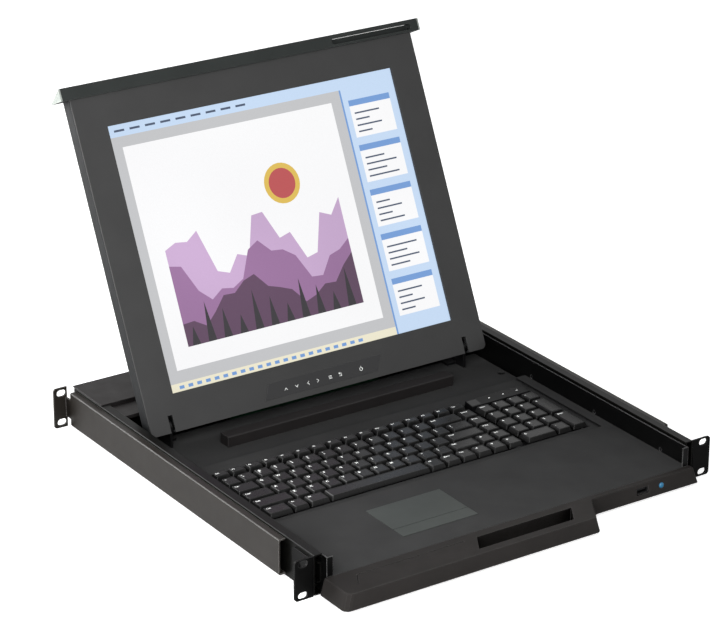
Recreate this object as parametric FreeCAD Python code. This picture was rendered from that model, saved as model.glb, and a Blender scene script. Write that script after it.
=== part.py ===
"""Rack-mounted LCD console drawer, one rack unit high, built piece by piece in millimetres.

The console is a keyboard tray on telescopic ball slides with a 17-inch display that is hinged
at the back of the tray and folds down over the keys.  The frame's origin is the centre of the
four front rack slots on the ears' front faces: +X to the right, +Y into the rack, +Z up.
Every piece is a separate solid, or a group of like solids, in parts/NAME.step.
"""
import FreeCAD, Part
import math
import os

Vector = FreeCAD.Vector

# ---- Rack interface ------------------------------------------------------------------------
PANEL_WIDTH = 482.6
PANEL_HEIGHT = 43.7
FRONT_EAR_TRIM = 1.45
SLOT_EDGE_X = 8.75
SLOT_EDGE_Z = 5.975
SLOT_LENGTH = 10.0
SLOT_WIDTH = 6.8
EAR_REACH = 21.3
REAR_EAR_STANDOFF = 2.2

# ---- General fits --------------------------------------------------------------------------
RUNNING_GAP = 0.3
SEAM_GAP = 0.3
THREAD_GAP = 0.1
PIN_GAP = 0.08
OVERSHOOT = 1.0
SCREW_SIDES = 12
HIDDEN_SIDES = 8
BALL_SIDES = 6
BALL_RINGS = (-60, -24, 24, 60)
ROUND_STEPS = 3

# ---- Sheet-metal ears and rear brackets ------------------------------------------------------
EAR_SHEET = 2.0
EAR_LEG = 34.0
EAR_LEG_HEIGHT = 33.0
EAR_CORNER = 3.0
EAR_BEND_R = 1.8
BRACKET_SHEET = 1.5
BRACKET_STANDOFF = 6.0
BRACKET_HEIGHT = 36.4
BRACKET_FRONT_Y = 48.0
BRACKET_NECK_LENGTH = 9.2
BRACKET_NECK_HEIGHT = 21.0
BRACKET_TRAVEL = 120.0
CLAMP_BOSS_R = 4.0
CLAMP_SCREW_R = 2.0
CLAMP_HEAD_R = 4.6
CLAMP_HEAD_T = 1.0
CLAMP_YS = (150.0, 300.0)
EAR_SCREW_YS = (11.0, 25.0)
EAR_SCREW_R = 2.0
EAR_SCREW_HEAD_R = 3.8
EAR_SCREW_HEAD_T = 1.3

# ---- Telescopic ball slides ------------------------------------------------------------------
RAIL_HEIGHT = 40.8
RAIL_DEPTH = 8.8
RAIL_SHEET = 1.2
RAIL_LIP = 2.0
RAIL_BEND_R = 1.0
RAIL_FRONT_Y = 1.0
RAIL_END_GAP = 2.0
MIDDLE_FRONT_Y = 8.0
MIDDLE_SHORTER = 40.0
MIDDLE_FLANGE = 5.0
INNER_FRONT_Y = 4.0
INNER_END_GAP = 2.0
INNER_FLANGE = 4.2
OUTER_BALL_R = 1.8
INNER_BALL_R = 1.5
CAGE_SHEET = 0.6
CAGE_BALL_GAP = 0.25
CAGE_FLANGE = 4.0
INNER_CAGE_FLANGE = 3.1
OUTER_CAGE_FRONT_Y = 100.0
OUTER_CAGE_LENGTH = 200.0
INNER_CAGE_FRONT_Y = 112.0
INNER_CAGE_LENGTH = 176.0
BALLS_PER_ROW = 4
SLIDE_SCREW_COUNT = 4
SLIDE_SCREW_MARGIN = 31.5

# ---- Tray ------------------------------------------------------------------------------------
TRAY_SHEET = 1.2
TRAY_FRONT_Y = -4.8
TRAY_BEHIND_HINGE = 56.8
TRAY_BOTTOM_Z = -19.6
TRAY_WALL_TOP_Z = 18.0
TRAY_LIP_TOP_Z = -5.0
DISPLAY_CLEARANCE = 0.7
REAR_COVER_DEPTH = 26.0
REAR_COVER_APRON = 3.6
CABLE_SLOT_LENGTH = 40.0
CABLE_SLOT_WIDTH = 12.0

# ---- Deck ------------------------------------------------------------------------------------
DECK_SHEET = 2.0
DECK_TOP_Z = -2.0
DECK_RECESS_DEPTH = 2.0
DECK_RECESS_FRONT_Y = 113.0
DECK_RECESS_REAR_Y = 256.0
DECK_BORDER = 13.0
DECK_SLOPE_RUN = 3.0
DECK_WELL_Z = -10.0
DECK_BEHIND_HINGE = 17.8
DECK_POST_R = 4.5
POST_THREAD = 4.5
DECK_POSTS = ((-160.0, 55.0), (0.0, 100.0), (160.0, 55.0), (-160.0, 275.0), (0.0, 275.0),
              (160.0, 275.0))
LOCK_HOLE_R = 3.8
LOCK_HOLE_INSET = 8.0
LOCK_HOLE_Y = 288.0

# ---- Keyboard --------------------------------------------------------------------------------
KEY_SIDE_SPACE = 21.5
KEY_GAP = 1.6
KEY_HEIGHT = 5.0
KEY_TOP_Z = 0.6
KEY_TOP_INSET = 2.0
KEY_STEM = 4.0
KEY_STEM_GAP = 0.25
KEY_STEM_LENGTH = 7.6
KEY_ROW_FRONT_Y = 124.0
FUNCTION_KEY_DEPTH = 13.4
FUNCTION_ROW_GAP = 3.0
MAIN_ROWS = 5
MAIN_UNITS = 16.0
PAD_UNITS = 4.0
BLOCK_GAP = 5.0
KEY_FLOOR_Z = -8.0
KEY_FLOOR_SHEET = 2.0
KEYBOARD_WALL = 2.0
KEYBOARD_MARGIN = 1.5
KEYBOARD_FLANGE = 4.0
INDICATOR_HEIGHT = 3.6

# ---- Touchpad --------------------------------------------------------------------------------
PAD_LEFT_X = -106.5
PAD_WIDTH = 85.4
PAD_FRONT_Y = 23.0
PAD_DEPTH = 63.4
PAD_PLATE_DEPTH = 46.0
PAD_RAISE = 0.3
PAD_FLANGE = 3.0
PAD_BASE_SHEET = 1.5
BUTTON_SHEET = 1.1
BUTTON_RIB_R = 0.9

# ---- Front bezel with pull handle ------------------------------------------------------------
BEZEL_OVERHANG = 2.5
BEZEL_BOTTOM_Z = -18.0
BEZEL_SIDE_DRAFT = 4.5
BEZEL_DRAFT = 3.0
BEZEL_FACE_Y = -11.0
HANDLE_FRONT_Y = -44.0
HANDLE_RIGHT_X = 87.0
HANDLE_END_SLANT = 0.6
GRIP_CENTRE_X = -1.5
GRIP_LENGTH = 110.0
GRIP_FRONT_Y = -35.5
GRIP_REAR_Y = -14.5
GROOVE_WIDTH = 0.9
GROOVE_DEPTH = 0.8
GROOVE_INSET = 28.5
GROOVE_RIGHT_X = -65.0
GROOVE_FRONT_Y = -30.0
BEZEL_WALL = 2.4
BEZEL_END_R = 2.0
BEZEL_EDGE = 0.7
HANDLE_CORNER_R = 6.0
USB_INSET = 64.0
USB_CENTRE_Z = -9.2
USB_WIDTH = 13.2
USB_HEIGHT = 5.8
USB_SHELL = 0.5
USB_FRAME = 0.8
LED_INSET = 41.0
LED_Z = -9.6
LED_R = 2.8
LED_DOME = 1.0
USB_TONGUE_INSET = 1.0

# ---- Hinge and display -----------------------------------------------------------------------
CLOSED_OVERHANG = 5.75
HINGE_Z = 11.2
HINGE_INSET = 24.5
HINGE_PLATE = 2.6
HINGE_EYE_R = 6.4
HINGE_PIN_R = 2.5
HINGE_FOOT = 14.0
HINGE_FOOT_DEPTH = 10.0
HINGE_FOOT_REACH = 16.8
KNUCKLE_FOOT = 16.0
KNUCKLE_SCREWS = (12.0, 30.0)
KNUCKLE_SHEET = 2.5
KNUCKLE_HEIGHT = 38.0
DISPLAY_TILT = 25.4
DISPLAY_SIDE_GAP = 7.5
DISPLAY_BELOW_AXIS = 7.35
TOP_FRAME = 32.5
DISPLAY_FACE = 9.0
DISPLAY_THICKNESS = 18.6
DISPLAY_WALL = 2.0
DISPLAY_BACK_R = 4.0
DISPLAY_CORNER_R = 5.0
DISPLAY_SEAM = 0.9
FACE_SHEET = 2.5
SIDE_FRAME = 33.55
SCREEN_HEIGHT = 270.3
SCREEN_ABOVE_AXIS = 30.15
PANEL_BORDER = 11.4
PANEL_THICKNESS = 9.0
HINGE_SLOT_WIDTH = 5.2
HINGE_SLOT_TOP = 10.0
NOSE_OVERHANG = 11.0
NOSE_HEIGHT = 12.6
NOSE_FORWARD = 3.4
NOSE_CAP = 1.6
FINGER_LENGTH = 99.0
FINGER_HEIGHT = 6.4
FINGER_DEPTH = 8.0
FINGER_INSET = 60.0
FINGER_ABOVE_LIP = 2.2
MENU_WIDTH = 136.5
MENU_HEIGHT = 16.0
MENU_SLANT = 8.2
MENU_CENTRE_X = 2.0
MENU_TOP = 15.0
MENU_SHEET = 0.5

# ---- Cable cover, rear housing and sockets ---------------------------------------------------
CABLE_COVER_LEFT_X = -131.5
CABLE_COVER_RIGHT_X = 141.5
CABLE_COVER_FRONT_Y = 290.0
CABLE_COVER_DEPTH = 15.0
CABLE_COVER_TOP_Z = 1.4
COVER_EDGE_R = 1.0
HOUSING_INSET = 1.5
HOUSING_GAP = 4.0
HOUSING_DEPTH = 55.0
LID_SHEET = 1.2
LID_OVERHANG = 1.5
SOCKET_COUNT = 8
SOCKET_PITCH = 33.0
SOCKET_FIRST_X = -96.0
SOCKET_Z = -2.0
SOCKET_GAP = 0.2
SOCKET_WIDTH = 16.6
SOCKET_HEIGHT = 8.4
SOCKET_REACH = 6.0
SOCKET_BODY = 9.0
SOCKET_FLANGE = 31.0
SOCKET_FLANGE_HEIGHT = 11.8
SOCKET_TAPER = 1.4
INLET_INSET = 40.5
INLET_WIDTH = 28.0
INLET_HEIGHT = 21.0
INLET_DEPTH = 20.0
INLET_WALL = 2.0
INLET_FLANGE = 2.0
INLET_PIN_WIDTH = 2.0
INLET_PIN_HEIGHT = 4.0
INLET_PINS = ((-7.0, -2.0), (7.0, -2.0), (0.0, 2.0))
LID_SCREW_XS = (-120.0, -40.0, 40.0, 120.0)
LID_SCREW_R = 2.8
LID_SCREW_HEAD_T = 0.6
HOUSING_RETURN = 9.0
BOARD_SHEET = 1.6
BOARD_STANDOFF = 4.0
BOARD_FOOT = 5.0
BOARD_EDGE = 4.0
CHIP_WIDTH = 16.0
CHIP_HEIGHT = 2.0
SWITCH_BOARD_LEFT_X = -116.0
SWITCH_BOARD_INSET = 10.5
SWITCH_CHIPS = 5
CONTROL_BOARD_HALF = 90.0
CONTROL_CHIPS = 3
CHIP_PITCH = 50.0
DRIVER_BOARD_HALF = 80.0
DRIVER_BOARD_LOW = 50.0
DRIVER_BOARD_HIGH = 130.0
SUPPLY_INSET = 10.5
SUPPLY_WIDTH = 56.0
SUPPLY_HEIGHT = 26.0


# ---- Basic shapes ----------------------------------------------------------------------------
def box(x0, x1, y0, y1, z0, z1):
    """Box between opposite corners."""
    return Part.makeBox(x1 - x0, y1 - y0, z1 - z0, Vector(x0, y0, z0))


def cylinder(centre, axis, radius, length):
    """Cylinder that starts at centre and runs along axis."""
    return Part.makeCylinder(radius, length, Vector(*centre), Vector(*axis))


def polygon_face(points):
    """Flat face inside a closed outline."""
    return Part.Face(Part.makePolygon([Vector(*p) for p in points] + [Vector(*points[0])]))


def prism_x(outline_yz, x0, x1):
    """Outline in the YZ plane, extruded along X."""
    return polygon_face([(x0, y, z) for y, z in outline_yz]).extrude(Vector(x1 - x0, 0, 0))


def prism_y(outline_xz, y0, y1):
    """Outline in the XZ plane, extruded along Y."""
    return polygon_face([(x, y0, z) for x, z in outline_xz]).extrude(Vector(0, y1 - y0, 0))


def prism_z(outline_xy, z0, z1):
    """Outline in the XY plane, extruded along Z."""
    return polygon_face([(x, y, z0) for x, y in outline_xy]).extrude(Vector(0, 0, z1 - z0))


def stacked_block(levels):
    """Flat-faced solid through outlines that lie at rising heights, each (outline, z)."""
    rings = [[(x, y, z) for x, y in outline] for outline, z in levels]
    faces = [polygon_face(rings[0]), polygon_face(rings[-1])]
    for low, high in zip(rings, rings[1:]):
        for i in range(len(low)):
            j = (i + 1) % len(low)
            faces.append(polygon_face([low[i], low[j], high[j], high[i]]))
    solid = Part.makeSolid(Part.makeShell(faces))
    if solid.Volume < 0:
        solid.reverse()
    return solid


def rounded_outline(corners):
    """Outline through corners (a, b, radius), each eased by short flats around its arc."""
    eased = []
    for i, (a, b, radius) in enumerate(corners):
        here = Vector(a, b, 0)
        if not radius:
            eased.append((a, b))
            continue
        before = Vector(*corners[i - 1][:2], 0).sub(here).normalize()
        after = Vector(*corners[(i + 1) % len(corners)][:2], 0).sub(here).normalize()
        half_angle = before.getAngle(after) / 2
        centre = here + before.add(after).normalize() * (radius / math.sin(half_angle))
        reach = radius / math.tan(half_angle)
        start, end = here + before * reach - centre, here + after * reach - centre
        for step in range(ROUND_STEPS + 1):
            spoke = start * (1 - step / ROUND_STEPS) + end * (step / ROUND_STEPS)
            point = centre + spoke.normalize() * radius
            eased.append((point.x, point.y))
    return eased


def regular_outline(radius, sides):
    """Corners of a regular outline about the origin, one side facing +X."""
    step = 2 * math.pi / sides
    return [(radius * math.cos((i + 0.5) * step), radius * math.sin((i + 0.5) * step))
            for i in range(sides)]


def faceted_bar(centre, axis, radius, length, sides=SCREW_SIDES):
    """Many-sided bar for a small screw, drill hole or post; like radii nest evenly."""
    bar = prism_z(regular_outline(radius, sides), 0, length)
    turn = FreeCAD.Rotation(Vector(0, 0, 1), Vector(*axis))
    bar.Placement = FreeCAD.Placement(Vector(*centre), turn)
    return bar


def ball(centre, radius):
    """Many-faced bearing ball, built from rings at four latitudes."""
    levels = []
    for latitude in BALL_RINGS:
        angle = math.radians(latitude)
        levels.append((regular_outline(radius * math.cos(angle), BALL_SIDES),
                       radius * math.sin(angle)))
    shape = stacked_block(levels)
    shape.translate(Vector(*centre))
    return shape


def oblong_y(x, z, length, width, y0, y1):
    """Oblong cutter with round ends, long along X, running through from y0 to y1."""
    straight = (length - width) / 2
    body = box(x - straight, x + straight, y0, y1, z - width / 2, z + width / 2)
    ends = [cylinder((x + side * straight, y0, z), (0, 1, 0), width / 2, y1 - y0)
            for side in (-1, 1)]
    return body.fuse(ends)


def mirrored(shape):
    """Copy on the other side of the console."""
    return shape.mirror(Vector(0, 0, 0), Vector(1, 0, 0))


def save(name, *shapes):
    """Write one sub-part, made of one or more separate solids."""
    solids = [solid for shape in shapes for solid in shape.Solids]
    whole = solids[0] if len(solids) == 1 else Part.makeCompound(solids)
    whole.exportStep("parts/%s.step" % name)


def save_pair(name, shape):
    """Write the right-hand piece and its mirror image on the left."""
    save(name + "_right", shape)
    save(name + "_left", mirrored(shape))


# ---- Sizes that follow from the driving dimensions -------------------------------------------
SLOT_SPAN_X = PANEL_WIDTH - 2 * SLOT_EDGE_X
SLOT_SPAN_Z = PANEL_HEIGHT - 2 * SLOT_EDGE_Z
FRONT_EAR_HEIGHT = PANEL_HEIGHT - 2 * FRONT_EAR_TRIM
RAIL_OUTER_X = PANEL_WIDTH / 2 - EAR_REACH
EAR_INNER_X = RAIL_OUTER_X
BRACKET_OUTER_X = RAIL_OUTER_X + BRACKET_STANDOFF + BRACKET_SHEET
RAIL_WEB_X = RAIL_OUTER_X - RAIL_SHEET
RAIL_FLANGE_Z = RAIL_HEIGHT / 2 - RAIL_SHEET
OUTER_BALL_Z = RAIL_FLANGE_Z - RUNNING_GAP - OUTER_BALL_R
MIDDLE_HALF_HEIGHT = OUTER_BALL_Z - OUTER_BALL_R - RUNNING_GAP
MIDDLE_FLANGE_Z = MIDDLE_HALF_HEIGHT - RAIL_SHEET
INNER_BALL_Z = MIDDLE_FLANGE_Z - RUNNING_GAP - INNER_BALL_R
INNER_HALF_HEIGHT = INNER_BALL_Z - INNER_BALL_R - RUNNING_GAP
OUTER_CAGE_X = RAIL_WEB_X - CLAMP_HEAD_T - RUNNING_GAP
MIDDLE_WEB_X = OUTER_CAGE_X - CAGE_SHEET - RUNNING_GAP
INNER_CAGE_X = MIDDLE_WEB_X - RAIL_SHEET - RUNNING_GAP
OUTER_BALL_X = OUTER_CAGE_X - CAGE_SHEET - OUTER_BALL_R - RUNNING_GAP
INNER_BALL_X = INNER_CAGE_X - CAGE_SHEET - INNER_BALL_R - RUNNING_GAP
TRAY_HALF_WIDTH = INNER_CAGE_X - CAGE_SHEET - RUNNING_GAP - INNER_FLANGE
DISPLAY_HALF_WIDTH = TRAY_HALF_WIDTH - DISPLAY_SIDE_GAP
SCREEN_WIDTH = 2 * (DISPLAY_HALF_WIDTH - SIDE_FRAME)
DISPLAY_ABOVE_AXIS = SCREEN_ABOVE_AXIS + SCREEN_HEIGHT + TOP_FRAME
DISPLAY_BACK = DISPLAY_THICKNESS - DISPLAY_FACE
NOSE_HALF_WIDTH = DISPLAY_HALF_WIDTH + NOSE_OVERHANG
FINGER_CENTRE_X = NOSE_HALF_WIDTH - FINGER_INSET
HINGE_X = DISPLAY_HALF_WIDTH - HINGE_INSET
HINGE_Y = DISPLAY_ABOVE_AXIS - CLOSED_OVERHANG
HINGE_FOOT_REAR_Y = HINGE_Y + HINGE_FOOT_REACH
TRAY_REAR_Y = HINGE_Y + TRAY_BEHIND_HINGE
TRAY_FLOOR_Z = TRAY_BOTTOM_Z + TRAY_SHEET
INNER_LENGTH = TRAY_REAR_Y - INNER_END_GAP - INNER_FRONT_Y
HOUSING_FRONT_Y = TRAY_REAR_Y + HOUSING_GAP
HOUSING_REAR_Y = HOUSING_FRONT_Y + HOUSING_DEPTH
HOUSING_HALF_WIDTH = TRAY_HALF_WIDTH - HOUSING_INSET
LID_TOP_Z = RAIL_HEIGHT / 2 + LID_SHEET
RAIL_LENGTH = HOUSING_REAR_Y - RAIL_END_GAP - RAIL_FRONT_Y
MIDDLE_LENGTH = RAIL_LENGTH - MIDDLE_SHORTER
REAR_MOUNT_Y = HOUSING_REAR_Y + REAR_EAR_STANDOFF
BRACKET_REAR_Y = REAR_MOUNT_Y - BRACKET_NECK_LENGTH
SWITCH_BOARD_RIGHT_X = HOUSING_HALF_WIDTH - SWITCH_BOARD_INSET
SUPPLY_LEFT_X = SUPPLY_INSET - HOUSING_HALF_WIDTH
INLET_X = INLET_INSET - HOUSING_HALF_WIDTH
DECK_REAR_Y = HINGE_Y + DECK_BEHIND_HINGE
DECK_RECESS_HALF_WIDTH = TRAY_HALF_WIDTH - DECK_BORDER
LOCK_HOLE_X = TRAY_HALF_WIDTH - LOCK_HOLE_INSET
RECESS_Z = DECK_TOP_Z - DECK_RECESS_DEPTH
BEZEL_HALF_WIDTH = TRAY_HALF_WIDTH + BEZEL_OVERHANG
GROOVE_LEFT_X = GROOVE_INSET - BEZEL_HALF_WIDTH
USB_CENTRE_X = BEZEL_HALF_WIDTH - USB_INSET
LED_X = BEZEL_HALF_WIDTH - LED_INSET
KEYBOARD_HALF_WIDTH = TRAY_HALF_WIDTH - KEY_SIDE_SPACE
KEY_PITCH = (2 * KEYBOARD_HALF_WIDTH - BLOCK_GAP) / (MAIN_UNITS + PAD_UNITS)
KEY_LEFT_X = -KEYBOARD_HALF_WIDTH
PAD_BLOCK_X = KEY_LEFT_X + MAIN_UNITS * KEY_PITCH + BLOCK_GAP
KEY_BOTTOM_Z = KEY_TOP_Z - KEY_HEIGHT
FUNCTION_ROW_Y = KEY_ROW_FRONT_Y + MAIN_ROWS * KEY_PITCH + FUNCTION_ROW_GAP
KEYBOARD_REAR_Y = FUNCTION_ROW_Y + FUNCTION_KEY_DEPTH + KEYBOARD_MARGIN
KEYBOARD_FRONT_Y = KEY_ROW_FRONT_Y - KEYBOARD_MARGIN
PAD_REAR_Y = PAD_FRONT_Y + PAD_DEPTH


# ---- Ears and rear brackets ------------------------------------------------------------------
def rack_ear_face(y0, sheet, inner_x, height):
    """Upright ear plate with rounded outer corners and the two rack slots."""
    half = height / 2
    outer = PANEL_WIDTH / 2
    plate = prism_y(rounded_outline([(inner_x, -half, 0), (outer, -half, EAR_CORNER),
                                     (outer, half, EAR_CORNER), (inner_x, half, 0)]),
                    y0, y0 + sheet)
    for z in (-SLOT_SPAN_Z / 2, SLOT_SPAN_Z / 2):
        slot = oblong_y(SLOT_SPAN_X / 2, z, SLOT_LENGTH, SLOT_WIDTH, y0 - sheet, y0 + 2 * sheet)
        plate = plate.cut(slot)
    return plate


def front_ear():
    """Bent ear: slotted face plate and a leg that lies on the rail's outer face."""
    half = EAR_LEG_HEIGHT / 2
    leg = prism_x(rounded_outline([(0, -half, 0), (EAR_LEG, -half, EAR_CORNER),
                                   (EAR_LEG, half, EAR_CORNER), (0, half, 0)]),
                  EAR_INNER_X, EAR_INNER_X + EAR_SHEET)
    ear = rack_ear_face(0, EAR_SHEET, EAR_INNER_X, FRONT_EAR_HEIGHT).fuse(leg)
    holes = [faceted_bar((EAR_INNER_X - OVERSHOOT, y, 0), (1, 0, 0), EAR_SCREW_R + THREAD_GAP,
                         EAR_SHEET + 2 * OVERSHOOT) for y in EAR_SCREW_YS]
    return ear.cut([bend_waste(EAR_INNER_X, 0, EAR_BEND_R, FRONT_EAR_HEIGHT)] + holes)


def bend_waste(x, y, radius, height):
    """Sliver outside a rounded upright bend whose square corner is at x, y."""
    arc = rounded_outline([(x, y, radius), (x + 2 * radius, y, 0), (x, y + 2 * radius, 0)])
    return prism_z([(x, y)] + arc[:ROUND_STEPS + 1], -height / 2, height / 2)


def ear_screws():
    """Pan-head screws that hold one ear on its rail, ending flush inside the rail."""
    screws = []
    for y in EAR_SCREW_YS:
        seat = EAR_INNER_X + EAR_SHEET
        shank = faceted_bar((RAIL_WEB_X, y, 0), (1, 0, 0), EAR_SCREW_R, seat - RAIL_WEB_X)
        head = faceted_bar((seat, y, 0), (1, 0, 0), EAR_SCREW_HEAD_R, EAR_SCREW_HEAD_T)
        screws.append(head.fuse(shank))
    return screws


def rear_bracket():
    """Long channel that telescopes along the rail's outer face, necked down to a rear ear."""
    half = BRACKET_HEIGHT / 2
    inner = RAIL_OUTER_X + RUNNING_GAP
    outer = BRACKET_OUTER_X
    sheet = BRACKET_SHEET
    channel = prism_y(rounded_outline([(inner, -half, 0), (outer, -half, sheet),
                                       (outer, half, sheet), (inner, half, 0)]),
                      BRACKET_FRONT_Y, BRACKET_REAR_Y)
    hollow = box(inner - sheet, outer - sheet, BRACKET_FRONT_Y - sheet, BRACKET_REAR_Y + sheet,
                 sheet - half, half - sheet)
    channel = channel.cut(hollow)
    neck_half = BRACKET_NECK_HEIGHT / 2
    neck = box(outer - sheet, outer, BRACKET_REAR_Y, REAR_MOUNT_Y + sheet, -neck_half, neck_half)
    ear = rack_ear_face(REAR_MOUNT_Y, sheet, outer - sheet, PANEL_HEIGHT)
    bracket = channel.fuse([neck, ear])
    for y in CLAMP_YS:
        boss = faceted_bar((inner, y, 0), (1, 0, 0), CLAMP_BOSS_R, outer - sheet - inner,
                           HIDDEN_SIDES)
        bracket = bracket.fuse(boss)
        thread = faceted_bar((inner - sheet, y, 0), (1, 0, 0), CLAMP_SCREW_R + THREAD_GAP,
                             outer - inner, HIDDEN_SIDES)
        bracket = bracket.cut(thread)
    return bracket.removeSplitter()


def mirrored_z(shape):
    """Copy upside down about the drawer's mid height."""
    return shape.mirror(Vector(0, 0, 0), Vector(0, 0, 1))


def clamp_screws():
    """Low-head screws from inside the rail, through its slots into the bracket's bosses."""
    screws = []
    for y in CLAMP_YS:
        head_x = RAIL_WEB_X - CLAMP_HEAD_T
        head = faceted_bar((head_x, y, 0), (1, 0, 0), CLAMP_HEAD_R, CLAMP_HEAD_T, HIDDEN_SIDES)
        length = BRACKET_OUTER_X - 2 * BRACKET_SHEET - head_x
        shank = faceted_bar((head_x, y, 0), (1, 0, 0), CLAMP_SCREW_R, length, HIDDEN_SIDES)
        screws.append(head.fuse(shank))
    return screws


# ---- Telescopic slides -----------------------------------------------------------------------
def channel_rail(web_x, depth, half_height, front_y, length, opens_inward=True):
    """Rolled channel rail: an upright web with a flange along its top and bottom."""
    side = -1 if opens_inward else 1
    edge_x = web_x + side * depth
    low, high = min(web_x, edge_x), max(web_x, edge_x)
    rail = prism_y(rounded_outline([(edge_x, -half_height, 0), (web_x, -half_height, RAIL_BEND_R),
                                    (web_x, half_height, RAIL_BEND_R), (edge_x, half_height, 0)]),
                   front_y, front_y + length)
    inner_half = half_height - RAIL_SHEET
    hollow_low = low - RAIL_SHEET if opens_inward else low + RAIL_SHEET
    hollow_high = high - RAIL_SHEET if opens_inward else high + RAIL_SHEET
    hollow = box(hollow_low, hollow_high, front_y - RAIL_SHEET, front_y + length + RAIL_SHEET,
                 -inner_half, inner_half)
    return rail.cut(hollow)


def outer_rail():
    """Fixed outer rail: deep channel with ball-retaining lips, bracket slots and screw holes."""
    rail = channel_rail(RAIL_OUTER_X, RAIL_DEPTH, RAIL_HEIGHT / 2, RAIL_FRONT_Y, RAIL_LENGTH)
    lip_x = RAIL_OUTER_X - RAIL_DEPTH
    lip = box(lip_x, lip_x + RAIL_SHEET, RAIL_FRONT_Y, RAIL_FRONT_Y + RAIL_LENGTH,
              RAIL_FLANGE_Z - RAIL_LIP, RAIL_FLANGE_Z)
    rail = rail.fuse([lip, mirrored_z(lip)]).removeSplitter()
    cutters = [slot_along_y(y, BRACKET_TRAVEL) for y in CLAMP_YS]
    cutters += [faceted_bar((RAIL_WEB_X - RAIL_SHEET, y, 0), (1, 0, 0),
                            EAR_SCREW_R + THREAD_GAP, 3 * RAIL_SHEET) for y in EAR_SCREW_YS]
    return rail.cut(cutters)


def slot_along_y(y, travel):
    """Cutter for the rail slot that a clamp screw slides in, starting at the screw."""
    radius = CLAMP_SCREW_R + RUNNING_GAP
    x0 = RAIL_WEB_X - RAIL_SHEET
    reach = 3 * RAIL_SHEET
    body = box(x0, x0 + reach, y, y + travel, -radius, radius)
    ends = [faceted_bar((x0, end, 0), (1, 0, 0), radius, reach, HIDDEN_SIDES)
            for end in (y, y + travel)]
    return body.fuse(ends)


def middle_rail():
    """Floating middle rail, nested between the outer and inner rails."""
    return channel_rail(MIDDLE_WEB_X, MIDDLE_FLANGE, MIDDLE_HALF_HEIGHT, MIDDLE_FRONT_Y,
                        MIDDLE_LENGTH)


def inner_rail():
    """Inner rail, fixed to the tray's side wall with its flanges facing the middle rail."""
    rail = channel_rail(TRAY_HALF_WIDTH, INNER_FLANGE, INNER_HALF_HEIGHT, INNER_FRONT_Y,
                        INNER_LENGTH, opens_inward=False)
    holes = [faceted_bar((TRAY_HALF_WIDTH - RAIL_SHEET, y, 0), (1, 0, 0),
                         EAR_SCREW_R + THREAD_GAP, 3 * RAIL_SHEET, HIDDEN_SIDES)
             for y in slide_screw_ys()]
    return rail.cut(holes)


def slide_screw_ys():
    """Places along the inner rail where it is screwed to the tray."""
    step = (INNER_LENGTH - 2 * SLIDE_SCREW_MARGIN) / (SLIDE_SCREW_COUNT - 1)
    return [INNER_FRONT_Y + SLIDE_SCREW_MARGIN + i * step for i in range(SLIDE_SCREW_COUNT)]


def ball_ys(front_y, length):
    """Ball positions along a cage."""
    step = length / BALLS_PER_ROW
    return [front_y + step * (i + 0.5) for i in range(BALLS_PER_ROW)]


def ball_cage(web_x, flange, ball_x, ball_z, ball_r, front_y, length):
    """Thin U-shaped cage with balls in square pockets along the top and the bottom."""
    top = ball_z + CAGE_SHEET / 2
    cage = box(web_x - flange, web_x, front_y, front_y + length, -top, top)
    hollow = box(web_x - flange - CAGE_SHEET, web_x - CAGE_SHEET, front_y - CAGE_SHEET,
                 front_y + length + CAGE_SHEET, CAGE_SHEET - top, top - CAGE_SHEET)
    cage = cage.cut(hollow)
    balls = []
    for y in ball_ys(front_y, length):
        half = ball_r + CAGE_BALL_GAP
        cage = cage.cut(box(ball_x - half, ball_x + half, y - half, y + half, -top - CAGE_SHEET,
                            top + CAGE_SHEET))
        balls += [ball((ball_x, y, z), ball_r) for z in (-ball_z, ball_z)]
    return [cage] + balls


def build_slides():
    """Both slides: rails in pairs, and the cages that roll between them."""
    save_pair("outer_rail", outer_rail())
    save_pair("middle_rail", middle_rail())
    save_pair("inner_rail", inner_rail())
    outer = ball_cage(OUTER_CAGE_X, CAGE_FLANGE, OUTER_BALL_X, OUTER_BALL_Z, OUTER_BALL_R,
                      OUTER_CAGE_FRONT_Y, OUTER_CAGE_LENGTH)
    inner = ball_cage(INNER_CAGE_X, INNER_CAGE_FLANGE, INNER_BALL_X, INNER_BALL_Z, INNER_BALL_R,
                      INNER_CAGE_FRONT_Y, INNER_CAGE_LENGTH)
    save_pair("outer_ball_cage", Part.makeCompound(outer))
    save_pair("inner_ball_cage", Part.makeCompound(inner))


def build_rack_fittings():
    """Front ears, rear brackets and the screws that hold them."""
    save_pair("front_ear", front_ear())
    save_pair("rear_bracket", rear_bracket())
    save_pair("clamp_screws", Part.makeCompound(clamp_screws()))
    screws = ear_screws()
    save("ear_screws", *(screws + [mirrored(screw) for screw in screws]))


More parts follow.
